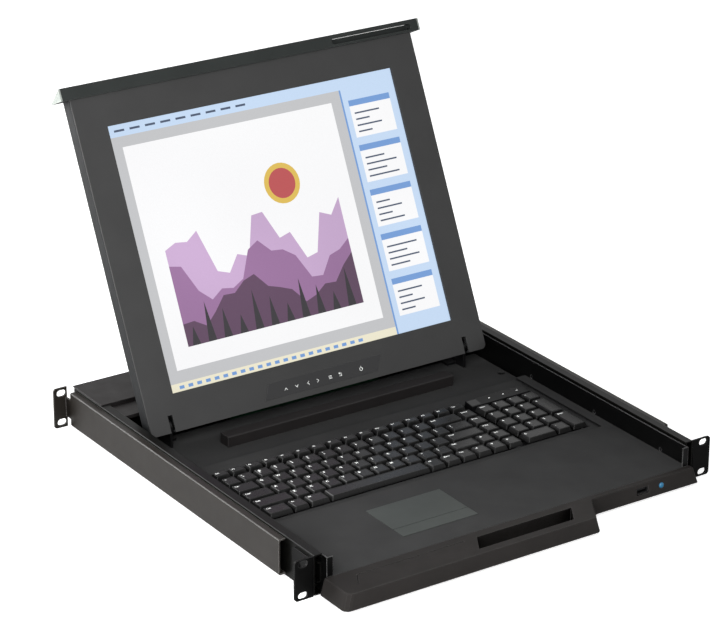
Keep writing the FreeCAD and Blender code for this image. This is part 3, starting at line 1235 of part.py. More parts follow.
# ---- Rear housing ----------------------------------------------------------------------------
def rear_housing():
    """Folded switch housing behind the tray, open at the top, with socket cut-outs."""
    half = HOUSING_HALF_WIDTH
    top = RAIL_HEIGHT / 2
    shell = box(-half, half, HOUSING_FRONT_Y, HOUSING_REAR_Y, TRAY_BOTTOM_Z, top)
    hollow = box(TRAY_SHEET - half, half - TRAY_SHEET, HOUSING_FRONT_Y + TRAY_SHEET,
                 HOUSING_REAR_Y - TRAY_SHEET, TRAY_FLOOR_Z, top + TRAY_SHEET)
    shell = shell.cut(hollow)
    for y0, y1 in ((HOUSING_FRONT_Y, HOUSING_FRONT_Y + HOUSING_RETURN),
                   (HOUSING_REAR_Y - HOUSING_RETURN, HOUSING_REAR_Y)):
        shell = shell.fuse(box(-half, half, y0, y1, top - TRAY_SHEET, top))
    shell = shell.removeSplitter()
    wall_y0, wall_y1 = HOUSING_REAR_Y - 2 * TRAY_SHEET, HOUSING_REAR_Y + TRAY_SHEET
    cutters = [d_outline(x, SOCKET_GAP, wall_y0, wall_y1) for x in socket_xs()]
    cutters.append(box(INLET_X - INLET_WIDTH / 2, INLET_X + INLET_WIDTH / 2, wall_y0, wall_y1,
                       SOCKET_Z - INLET_HEIGHT / 2, SOCKET_Z + INLET_HEIGHT / 2))
    return shell.cut(cutters)


def socket_xs():
    """Centres of the computer sockets along the rear wall."""
    return [SOCKET_FIRST_X + i * SOCKET_PITCH for i in range(SOCKET_COUNT)]


def d_outline(x, grow, y0, y1):
    """D-shaped shell of a computer socket, narrower at the bottom."""
    half = SOCKET_WIDTH / 2 + grow
    high = SOCKET_Z + SOCKET_HEIGHT / 2 + grow
    low = SOCKET_Z - SOCKET_HEIGHT / 2 - grow
    return prism_y([(x - half, high), (x + half, high), (x + half - SOCKET_TAPER, low),
                    (x - half + SOCKET_TAPER, low)], y0, y1)


def computer_sockets():
    """D-shaped computer sockets, each with a flange inside the rear wall and a plug shell."""
    sockets = []
    inside = HOUSING_REAR_Y - TRAY_SHEET
    for x in socket_xs():
        body = d_outline(x, 0, inside - SOCKET_BODY, HOUSING_REAR_Y + SOCKET_REACH)
        face = box(x - SOCKET_FLANGE / 2, x + SOCKET_FLANGE / 2, inside - TRAY_SHEET, inside,
                   SOCKET_Z - SOCKET_FLANGE_HEIGHT / 2, SOCKET_Z + SOCKET_FLANGE_HEIGHT / 2)
        sockets.append(body.fuse(face))
    return sockets


def power_inlet():
    """Three-pin power inlet let into the rear wall, with a hollow for the plug."""
    half_w, half_h = INLET_WIDTH / 2 - SOCKET_GAP, INLET_HEIGHT / 2 - SOCKET_GAP
    rear = HOUSING_REAR_Y + TRAY_SHEET
    body = box(INLET_X - half_w, INLET_X + half_w, HOUSING_REAR_Y - INLET_DEPTH, rear,
               SOCKET_Z - half_h, SOCKET_Z + half_h)
    reach_w, reach_h = half_w + INLET_FLANGE, half_h + INLET_FLANGE
    flange = box(INLET_X - reach_w, INLET_X + reach_w, HOUSING_REAR_Y, rear,
                 SOCKET_Z - reach_h, SOCKET_Z + reach_h)
    hollow_w, hollow_h = half_w - INLET_WALL, half_h - INLET_WALL
    floor_y = HOUSING_REAR_Y - INLET_DEPTH + INLET_WALL
    hollow = box(INLET_X - hollow_w, INLET_X + hollow_w, floor_y, rear + OVERSHOOT,
                 SOCKET_Z - hollow_h, SOCKET_Z + hollow_h)
    inlet = body.fuse(flange).cut(hollow)
    for dx, dz in INLET_PINS:
        x0, z0 = INLET_X + dx - INLET_PIN_WIDTH / 2, SOCKET_Z + dz - INLET_PIN_HEIGHT / 2
        inlet = inlet.fuse(box(x0, x0 + INLET_PIN_WIDTH, floor_y - OVERSHOOT,
                               rear - INLET_WALL, z0, z0 + INLET_PIN_HEIGHT))
    return inlet


def housing_lid():
    """Lid over the housing that rests on both rails and is turned down at the front."""
    half = RAIL_OUTER_X
    front, rear = HOUSING_FRONT_Y - LID_OVERHANG, HOUSING_REAR_Y - TRAY_SHEET
    return box(-half, half, front, rear + LID_OVERHANG, RAIL_HEIGHT / 2, LID_TOP_Z)


def lid_screws():
    """Flat screws that hold the lid on the housing's front and rear returns."""
    ys = (HOUSING_FRONT_Y + HOUSING_RETURN / 2, HOUSING_REAR_Y - HOUSING_RETURN / 2)
    return [faceted_bar((x, y, LID_TOP_Z), (0, 0, 1), LID_SCREW_R, LID_SCREW_HEAD_T, HIDDEN_SIDES)
            for x in LID_SCREW_XS for y in ys]


def chip_xs(middle, count):
    """Chip centres along a board, evenly spaced about its middle."""
    return [middle + (i - (count - 1) / 2) * CHIP_PITCH for i in range(count)]


def circuit_board(x0, x1, y0, y1, chips):
    """Circuit board on corner feet that stand on the floor, with a row of chips."""
    z0 = TRAY_FLOOR_Z + BOARD_STANDOFF
    z1 = z0 + BOARD_SHEET
    board = box(x0, x1, y0, y1, z0, z1)
    foot = BOARD_FOOT
    for x in (x0, x1 - foot):
        for y in (y0, y1 - foot):
            board = board.fuse(box(x, x + foot, y, y + foot, TRAY_FLOOR_Z, z0))
    middle = (y0 + y1) / 2
    for x in chip_xs((x0 + x1) / 2, chips):
        board = board.fuse(box(x - CHIP_WIDTH / 2, x + CHIP_WIDTH / 2, middle - CHIP_WIDTH / 2,
                               middle + CHIP_WIDTH / 2, z1, z1 + CHIP_HEIGHT))
    return board.removeSplitter()


def switch_board():
    """Switch board between the housing's front wall and the sockets."""
    return circuit_board(SWITCH_BOARD_LEFT_X, SWITCH_BOARD_RIGHT_X, HOUSING_FRONT_Y + BOARD_EDGE,
                         HOUSING_REAR_Y - TRAY_SHEET - SOCKET_BODY - BOARD_EDGE, SWITCH_CHIPS)


def power_supply():
    """Boxed power supply in front of the power inlet."""
    return box(SUPPLY_LEFT_X, SUPPLY_LEFT_X + SUPPLY_WIDTH, HOUSING_FRONT_Y + BOARD_EDGE,
               HOUSING_REAR_Y - INLET_DEPTH - BOARD_EDGE, TRAY_FLOOR_Z,
               TRAY_FLOOR_Z + SUPPLY_HEIGHT)


def control_board():
    """Keyboard and display control board on the tray floor behind the deck."""
    return circuit_board(-CONTROL_BOARD_HALF, CONTROL_BOARD_HALF, DECK_REAR_Y + BOARD_EDGE,
                         TRAY_REAR_Y - TRAY_SHEET - BOARD_EDGE, CONTROL_CHIPS)


def build_rear():
    """The fixed rear housing with its sockets and boards, and the tray's own board."""
    save("rear_housing", rear_housing())
    save("housing_lid", housing_lid())
    save("lid_screws", *lid_screws())
    save("computer_sockets", *computer_sockets())
    save("power_inlet", power_inlet())
    save("switch_board", switch_board())
    save("power_supply", power_supply())
    save("control_board", control_board())


def main():
    """Build every sub-part."""
    os.makedirs("parts", exist_ok=True)
    build_rack_fittings()
    build_slides()
    build_tray()
    build_keyboard()
    build_touchpad()
    build_front()
    build_hinges()
    build_display()
    build_rear()


main()
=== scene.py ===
"""Looks of the one-unit rack console: finishes, key caps, legends, screen picture and studio."""
import logging
import math
from dataclasses import dataclass, field
from enum import Enum

import bmesh
import bpy
from mathutils import Matrix, Vector


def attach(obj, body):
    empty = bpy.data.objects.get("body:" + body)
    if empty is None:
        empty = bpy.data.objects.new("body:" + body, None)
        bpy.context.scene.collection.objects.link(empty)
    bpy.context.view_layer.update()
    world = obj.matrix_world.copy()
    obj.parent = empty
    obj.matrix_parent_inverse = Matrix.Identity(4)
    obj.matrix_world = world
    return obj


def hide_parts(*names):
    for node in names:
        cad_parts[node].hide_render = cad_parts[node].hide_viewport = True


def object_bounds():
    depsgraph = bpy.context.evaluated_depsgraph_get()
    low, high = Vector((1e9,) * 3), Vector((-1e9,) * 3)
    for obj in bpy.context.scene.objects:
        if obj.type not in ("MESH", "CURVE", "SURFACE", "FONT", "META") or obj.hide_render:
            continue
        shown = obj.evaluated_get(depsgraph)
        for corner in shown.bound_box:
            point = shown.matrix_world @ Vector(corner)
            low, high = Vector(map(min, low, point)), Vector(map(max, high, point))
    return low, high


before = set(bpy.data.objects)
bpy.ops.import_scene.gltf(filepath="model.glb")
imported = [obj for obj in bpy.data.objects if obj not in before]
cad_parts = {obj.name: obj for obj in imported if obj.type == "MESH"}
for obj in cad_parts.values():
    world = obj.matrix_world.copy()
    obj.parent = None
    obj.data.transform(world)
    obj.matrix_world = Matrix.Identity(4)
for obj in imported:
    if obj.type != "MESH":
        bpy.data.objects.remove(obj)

CAD_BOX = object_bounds()
LOG = logging.getLogger("console")
MM = 0.001
WELD = 1e-6  # corners closer than this are one

Colour = tuple[float, float, float]
Outline = list[tuple[float, float]]


def shade(code: str) -> Colour:
    """Linear colour of a display code, by the usual transfer curve of displays.

    Args:
        code: Six hexadecimal digits.

    Returns:
        Red, green and blue in linear light.
    """
    knee, slope, offset, power = 0.04045, 12.92, 0.055, 2.4
    parts = [int(code[i:i + 2], 16) / 255 for i in (0, 2, 4)]
    return tuple(part / slope if part <= knee else ((part + offset) / (1 + offset)) ** power
                 for part in parts)


def scaled(colour: Colour, factor: float) -> Colour:
    """The colour made lighter or darker by a factor."""
    return tuple(min(1.0, part * factor) for part in colour)


@dataclass(frozen=True)
class Bumps:
    """A fine surface texture: how many bumps lie on a metre, and how high they are."""

    per_metre: float
    height: float


class Grain(Enum):
    """Surface textures of the console."""

    POWDER = Bumps(900.0, 0.06 * MM)
    MOULDED = Bumps(2600.0, 0.04 * MM)
    SMOOTH = Bumps(5000.0, 0.008 * MM)
    BRUSHED = Bumps(1400.0, 0.02 * MM)


NOISE_SPAN = (0.3, 0.7)  # nearly all values of a noise lie in it


class Graph:
    """Node tree of a material or a world, with short calls for adding and joining nodes."""

    def __init__(self, owner: bpy.types.Material | bpy.types.World) -> None:
        """Start the owner's tree empty.

        Args:
            owner: Material or world that the nodes belong to.
        """
        owner.use_nodes = True
        self.tree = owner.node_tree
        self.tree.nodes.clear()

    def node(self, kind: str, **settings: object) -> bpy.types.Node:
        """Add a node.

        Args:
            kind: Node type without its ShaderNode prefix.
            settings: Properties of the node.

        Returns:
            The new node.
        """
        made = self.tree.nodes.new("ShaderNode" + kind)
        for key, value in settings.items():
            setattr(made, key, value)
        return made

    def feed(self, socket: bpy.types.NodeSocket, value: object) -> None:
        """Set a socket, or join it to another node's output.

        Args:
            socket: Input that is set.
            value: Plain value, or another node's output.
        """
        if isinstance(value, bpy.types.NodeSocket):
            self.tree.links.new(value, socket)
        else:
            socket.default_value = value

    def send_out(self, surface: bpy.types.NodeSocket, kind: str = "OutputMaterial") -> None:
        """Send a shader to the tree's output node."""
        self.feed(self.node(kind).inputs["Surface"], surface)

    def noise(self, scale: float, detail: float = 2.0) -> bpy.types.NodeSocket:
        """Noise on the piece's own coordinates.

        Args:
            scale: Bumps per metre.
            detail: Octaves of finer noise.

        Returns:
            The noise's value.
        """
        made = self.node("TexNoise")
        self.feed(made.inputs["Vector"], self.node("TexCoord").outputs["Object"])
        self.feed(made.inputs["Scale"], scale)
        self.feed(made.inputs["Detail"], detail)
        return made.outputs["Fac"]

    def ranged(self, value: bpy.types.NodeSocket, low: float, high: float,
               source: tuple[float, float] = NOISE_SPAN) -> bpy.types.NodeSocket:
        """Spread a value between two limits.

        Args:
            value: The value to spread.
            low: Result at the source's lower end.
            high: Result at the source's upper end.
            source: The value's own range.

        Returns:
            The spread value.
        """
        made = self.node("MapRange")
        settings = {"Value": value, "From Min": source[0], "From Max": source[1],
                    "To Min": low, "To Max": high}
        for name, setting in settings.items():
            self.feed(made.inputs[name], setting)
        return made.outputs["Result"]

    def mixed(self, share: object, low: object, high: object) -> bpy.types.NodeSocket:
        """Blend of two colours.

        Args:
            share: Share of the second colour.
            low: First colour.
            high: Second colour.

        Returns:
            The blended colour.
        """
        made = self.node("Mix", data_type="RGBA")
        self.feed(made.inputs["Factor"], share)
        for name, value in (("A", low), ("B", high)):
            socket = [s for s in made.inputs if s.name == name and s.type == "RGBA"][0]
            self.feed(socket, (*value, 1.0) if isinstance(value, tuple) else value)
        return [s for s in made.outputs if s.type == "RGBA"][0]


@dataclass(frozen=True)
class WeatheringAndPaintedLight:
    """How uneven colour and smears lie over every finish, with worn edges lightened further by a painted
    highlight and recesses darkened by painted shade.
    """

    cloud_scale: float = 22.0
    cloud_detail: float = 4.0
    speck_share: float = 0.35
    smear_scale: float = 60.0
    smear_detail: float = 5.0
    smear_spread: float = 0.12
    # Rounded edges are lightened: partly wear, partly a painted highlight.
    edge_gain: float = 4.0
    edge_shine: float = 0.2
    edge_span: tuple[float, float] = (0.8, 0.995)
    edge_samples: int = 4
    # Recesses are darkened towards this share of the colour: painted shade.
    painted_shade_tone: float = 0.1
    painted_shade_span: tuple[float, float] = (0.5, 0.95)
    painted_shade_samples: int = 6


WEATHER_AND_LIGHT = WeatheringAndPaintedLight()


@dataclass(frozen=True)
class Finish:
    """A surface finish: paint, moulded plastic or metal."""

    name: str
    colour: Colour
    roughness: float
    grain: Grain = Grain.MOULDED
    metallic: float = 0.0
    mottle: float = 0.12
    # Lightens rounded edges: wear, and a painted highlight.
    wear_and_highlight: float = 0.0
    edge_radius: float = 0.5 * MM
    glow: float = 0.0
    specular: float = 0.5
    bump: float = 0.5
    # Reach of the painted shade that darkens recesses; none when zero.
    painted_shade_reach: float = 0.0

    def material(self) -> bpy.types.Material:
        """Build the finish's material once, and reuse it after that."""
        found = bpy.data.materials.get(self.title)
        return found if found else self._build()

    @property
    def title(self) -> str:
        """Name of the material, apart from the record's own material names."""
        return f"finish_{self.name}"

    def _build(self) -> bpy.types.Material:
        """Lay out the finish's nodes.

        Returns:
            The new material.
        """
        made = bpy.data.materials.new(self.title)
        graph = Graph(made)
        speck = graph.noise(self.grain.value.per_metre)
        edge = graph.node("Bevel", samples=WEATHER_AND_LIGHT.edge_samples)
        graph.feed(edge.inputs["Radius"], self.edge_radius)
        colour = self._clouded(graph, speck)
        gloss = self.specular
        # Painted shade: recesses are darkened and lose gloss.
        if self.painted_shade_reach > 0:
            openness = self._openness(graph)
            colour = graph.mixed(openness, scaled(self.colour, WEATHER_AND_LIGHT.painted_shade_tone), colour)
            gloss = graph.ranged(openness, 0.0, self.specular)
        # Painted highlight with wear: rounded edges are lightened.
        if self.wear_and_highlight > 0:
            colour = graph.mixed(self._edge_share(graph, edge), colour, self._worn_highlight_colour())
        settings = {"Base Color": colour, "Roughness": self._smeared(graph),
                    "Metallic": self.metallic, "Specular IOR Level": gloss,
                    "Normal": self._relief(graph, speck, edge)}
        if self.glow > 0:
            settings |= {"Emission Color": colour, "Emission Strength": self.glow}
        shader = graph.node("BsdfPrincipled")
        for name, setting in settings.items():
            graph.feed(shader.inputs[name], setting)
        graph.send_out(shader.outputs["BSDF"])
        return made

    def _clouded(self, graph: Graph, speck: bpy.types.NodeSocket) -> bpy.types.NodeSocket:
        """The finish's colour with broad clouds and the grain's fine specks.

        Args:
            graph: Node tree that receives the nodes.
            speck: The grain's noise.

        Returns:
            The uneven colour.
        """
        light = scaled(self.colour, 1 + self.mottle)
        cloud = graph.noise(WEATHER_AND_LIGHT.cloud_scale, WEATHER_AND_LIGHT.cloud_detail)
        colour = graph.mixed(graph.ranged(cloud, 0.0, 1.0), scaled(self.colour, 1 - self.mottle),
                             light)
        return graph.mixed(graph.ranged(speck, 0.0, WEATHER_AND_LIGHT.speck_share), colour, light)

    def _smeared(self, graph: Graph) -> bpy.types.NodeSocket:
        """The finish's roughness, a little uneven as after handling.

        Args:
            graph: Node tree that receives the nodes.

        Returns:
            The uneven roughness.
        """
        smear = graph.noise(WEATHER_AND_LIGHT.smear_scale, WEATHER_AND_LIGHT.smear_detail)
        return graph.ranged(smear, self.roughness * (1 - WEATHER_AND_LIGHT.smear_spread),
                            min(1.0, self.roughness * (1 + WEATHER_AND_LIGHT.smear_spread)))

    def _relief(self, graph: Graph, speck: bpy.types.NodeSocket,
                edge: bpy.types.Node) -> bpy.types.NodeSocket:
        """Surface normal with the grain's bumps over the rounded edges.

        Args:
            graph: Node tree that receives the nodes.
            speck: The grain's noise.
            edge: Node that rounds the edges.

        Returns:
            The normal.
        """
        relief = graph.node("Bump")
        graph.feed(relief.inputs["Strength"], self.bump)
        graph.feed(relief.inputs["Distance"], self.grain.value.height)
        graph.feed(relief.inputs["Height"], speck)
        graph.feed(relief.inputs["Normal"], edge.outputs["Normal"])
        return relief.outputs["Normal"]

    def _worn_highlight_colour(self) -> Colour:
        """Colour of the finish where handling has polished an edge, lightened further as a painted
        highlight.
        """
        return tuple(channel * (1 + WEATHER_AND_LIGHT.edge_gain * self.wear_and_highlight) + WEATHER_AND_LIGHT.edge_shine * self.wear_and_highlight
                     for channel in self.colour)

    def _openness(self, graph: Graph) -> bpy.types.NodeSocket:
        """How open a point lies, from none deep in a recess to one on a free face; it sets the painted
        shade.

        Args:
            graph: Node tree that receives the nodes.

        Returns:
            The share that is open.
        """
        around = graph.node("AmbientOcclusion", samples=WEATHER_AND_LIGHT.painted_shade_samples, only_local=True)
        graph.feed(around.inputs["Distance"], self.painted_shade_reach)
        return graph.ranged(around.outputs["AO"], 0.0, 1.0, WEATHER_AND_LIGHT.painted_shade_span)

    def _edge_share(self, graph: Graph, edge: bpy.types.Node) -> bpy.types.NodeSocket:
        """How far a point lies on a worn edge with a painted highlight, from how much rounding turns its
        normal.

        Args:
            graph: Node tree that receives the nodes.
            edge: Node that rounds the edges.

        Returns:
            The share of the worn colour with its painted highlight.
        """
        dot = graph.node("VectorMath", operation="DOT_PRODUCT")
        graph.feed(dot.inputs[0], edge.outputs["Normal"])
        graph.feed(dot.inputs[1], graph.node("NewGeometry").outputs["Normal"])
        return graph.ranged(dot.outputs["Value"], self.wear_and_highlight, 0.0, WEATHER_AND_LIGHT.edge_span)


@dataclass(frozen=True)
class Finishes:
    """Every finish of the console."""

    # Edge lightening is wear and a painted highlight; recess darkening is painted shade, as in the
    # bezel's grip opening and between the keys.
    housing: Finish = Finish("powder_coat_black", shade("1e1c1c"), 0.48, Grain.POWDER, wear_and_highlight=0.5,
                             edge_radius=0.7 * MM, specular=0.15)
    tray: Finish = Finish("tray_coat", shade("070707"), 0.32, Grain.POWDER, wear_and_highlight=1.0,
                          edge_radius=0.8 * MM, specular=0.12, painted_shade_reach=20.0 * MM)
    bracket: Finish = Finish("powder_coat_grey", shade("1f1c19"), 0.36, Grain.POWDER, wear_and_highlight=0.9,
                             edge_radius=1.0 * MM, specular=0.16)
    ear: Finish = Finish("ear_coat", shade("050505"), 0.4, Grain.POWDER, wear_and_highlight=0.5, specular=0.06)
    slide: Finish = Finish("slide_black_oxide", shade("090908"), 0.34, Grain.SMOOTH, 0.1,
                           wear_and_highlight=0.2, edge_radius=0.5 * MM, specular=0.08, painted_shade_reach=12.0 * MM)
    zinc: Finish = Finish("zinc_plate", shade("b8b8b2"), 0.28, Grain.BRUSHED, 1.0)
    dark_zinc: Finish = Finish("black_zinc", shade("131314"), 0.35, Grain.BRUSHED, 0.4, wear_and_highlight=0.3,
                               specular=0.3)
    deck: Finish = Finish("deck_texture", shade("373737"), 0.5, Grain.MOULDED, wear_and_highlight=0.15,
                          specular=0.01, painted_shade_reach=12.0 * MM)
    bezel: Finish = Finish("handle_texture", shade("282625"), 0.44, Grain.MOULDED, wear_and_highlight=0.45,
                           edge_radius=0.7 * MM, specular=0.03, painted_shade_reach=45.0 * MM)
    display: Finish = Finish("display_frame_texture", shade("2d2d2d"), 0.46, Grain.MOULDED,
                             wear_and_highlight=0.2, specular=0.35)
    shell: Finish = Finish("display_shell_paint", shade("1e1f20"), 0.5, Grain.POWDER, wear_and_highlight=0.5,
                           specular=0.12)
    nose: Finish = Finish("nose_coat", shade("2c2f2e"), 0.5, Grain.POWDER, wear_and_highlight=0.5,
                          specular=0.12)
    cap: Finish = Finish("end_cap_grey", shade("8d938e"), 0.45, Grain.MOULDED)
    key: Finish = Finish("key_plastic", shade("161616"), 0.28, Grain.MOULDED, mottle=0.06,
                         bump=0.2, specular=0.22, painted_shade_reach=4.0 * MM)
    pad: Finish = Finish("touchpad_surface", shade("3a3d3b"), 0.4, Grain.SMOOTH, specular=0.1)
    membrane: Finish = Finish("menu_membrane", shade("202021"), 0.35, Grain.SMOOTH, wear_and_highlight=0.5,
                              specular=0.4)
    # The ink glows a little, though it is no lamp: painted light that keeps the legends bright.
    legend: Finish = Finish("legend_ink", shade("f0f2f0"), 0.6, Grain.SMOOTH, mottle=0.04,
                            glow=0.35)
    blue: Finish = Finish("power_lens", shade("165a7c"), 0.3, Grain.SMOOTH, glow=0.3,
                          mottle=0.25)
    smoke: Finish = Finish("smoked_window", shade("0c0c0d"), 0.3, Grain.SMOOTH, specular=0.1)
    window: Finish = Finish("dark_window", shade("040404"), 0.12, Grain.SMOOTH, specular=0.3)
    socket: Finish = Finish("socket_body", shade("1b2c5a"), 0.4, Grain.MOULDED)
    inlet: Finish = Finish("inlet_body", shade("141414"), 0.45, Grain.MOULDED)
    board: Finish = Finish("board_mask", shade("0b2c1a"), 0.5, Grain.SMOOTH, specular=0.2)
    glass: Finish = Finish("screen_polariser", shade("202327"), 0.25, Grain.SMOOTH)


FINISHES = Finishes()


def both(*names: str) -> tuple[str, ...]:
    """Node names of pieces that come as a left and a right one."""
    return tuple(f"{name}_{side}" for name in names for side in ("left", "right"))


NODE_FINISHES: dict[Finish, tuple[str, ...]] = {
    FINISHES.slide: both("outer_rail", "middle_rail", "inner_rail"),
    FINISHES.ear: both("front_ear"),
    FINISHES.bracket: both("rear_bracket"),
    FINISHES.zinc: (*both("clamp_screws", "outer_ball_cage", "inner_ball_cage"), "hinge_pins",
                    "power_supply"),
    FINISHES.dark_zinc: (*both("hinge_bracket", "hinge_knuckle"), "ear_screws", "tray_screws",
                         "lid_screws", "display_screws", "usb_port"),
    FINISHES.tray: ("tray_pan",),
    FINISHES.housing: ("rear_housing", "housing_lid", "tray_rear_cover", "cable_cover"),
    FINISHES.deck: ("deck_plate",),
    FINISHES.key: ("keyboard_frame",),
    FINISHES.bezel: ("front_bezel",),
    FINISHES.pad: ("touchpad", "touchpad_button_bar"),
    FINISHES.smoke: ("indicator_window",),
    FINISHES.blue: ("status_led",),
    FINISHES.display: ("display_front",),
    FINISHES.shell: ("display_back",),
    FINISHES.nose: ("nose_cover",),
    FINISHES.cap: ("nose_end_caps",),
    FINISHES.membrane: ("menu_overlay",),
    FINISHES.glass: ("lcd_panel",),
    FINISHES.socket: ("computer_sockets",),
    FINISHES.inlet: ("power_inlet",),
    FINISHES.board: ("switch_board", "control_board", "driver_board"),
}


def add_piece(name: str, mesh: bmesh.types.BMesh, body: str, finishes: list[Finish]) -> bpy.types.Object:
    """Turn a finished bmesh into a piece of the object.

    Args:
        name: Name of the piece.
        mesh: Its shape, which is freed.
        body: CAD body that it rides on.
        finishes: Finishes by material index.

    Returns:
        The new object.
    """
    data = bpy.data.meshes.new(name)
    mesh.to_mesh(data)
    mesh.free()
    piece = bpy.data.objects.new(name, data)
    bpy.context.scene.collection.objects.link(piece)
    for finish in finishes:
        data.materials.append(finish.material())
    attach(piece, body)
    LOG.info("piece %s: %d faces on %s", name, len(data.polygons), body)
    return piece


ROW_DIGITS = 3  # keys whose rear edges agree to the millimetre are in one row


def node_islands(node: str) -> list[tuple[Vector, Vector]]:
    """Lowest and highest corners of each separate solid of a CAD node.

    Args:
        node: Name of the node.

    Returns:
        Corner pairs, from the rear row to the front, each row from left to right.
    """
    shape = bmesh.new()
    shape.from_mesh(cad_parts[node].data)
    bmesh.ops.remove_doubles(shape, verts=shape.verts, dist=WELD)
    seen: set[int] = set()
    found = []
    for start in shape.verts:
        if start.index in seen:
            continue
        stack, group = [start], []
        seen.add(start.index)
        while stack:
            vert = stack.pop()
            group.append(vert.co.copy())
            for edge in vert.link_edges:
                other = edge.other_vert(vert)
                if other.index not in seen:
                    seen.add(other.index)
                    stack.append(other)
        found.append(corners_of(group))
    shape.free()
    return sorted(found, key=lambda pair: (-round(pair[1].y, ROW_DIGITS), pair[0].x))


def corners_of(points: list[Vector]) -> tuple[Vector, Vector]:
    """Lowest and highest corners of the box round some points."""
    return Vector(map(min, zip(*points))), Vector(map(max, zip(*points)))


# Legends of each key group, from the rear row to the front, each row from left to right
KEY_LEGENDS: dict[str, list[str]] = {
    "function_keys": ["Esc"] + ["F%d" % i for i in range(1, 13)] + ["Prt", "Scr", "Pse"],
    "number_keys": ["~\n`", "!\n1", "@\n2", "#\n3", "$\n4", "%\n5", "^\n6", "&\n7", "*\n8",
                    "(\n9", ")\n0", "_\n-", "+\n=", "Back"],
    "upper_keys": ["Tab"] + list("QWERTYUIOP") + ["{\n[", "}\n]", "|\n\\"],
    "home_keys": ["Caps"] + list("ASDFGHJKL") + [":\n;", "\"\n'"],
    "enter_key": ["Enter"],
    "lower_keys": ["Shift"] + list("ZXCVBNM") + ["<\n,", ">\n.", "?\n/", "Shift"],
    "bottom_keys": ["Ctrl", "Fn", "Alt", "Alt", "Menu", "Ctrl"],
    "space_bar": [""],
    "navigation_keys": ["Home", "PgUp", "PgDn", "up", "End", "left", "down", "right"],
    "numpad_keys": ["Num", "/", "*", "-", "7", "8", "9", "+", "4", "5", "6", "1", "2", "3",
                    "Enter", "0", "."],
}
# Degrees that each arrow is turned from one that points to the rear
ARROW_TURNS: dict[str, float] = {"up": 0.0, "left": 90.0, "down": 180.0, "right": 270.0}


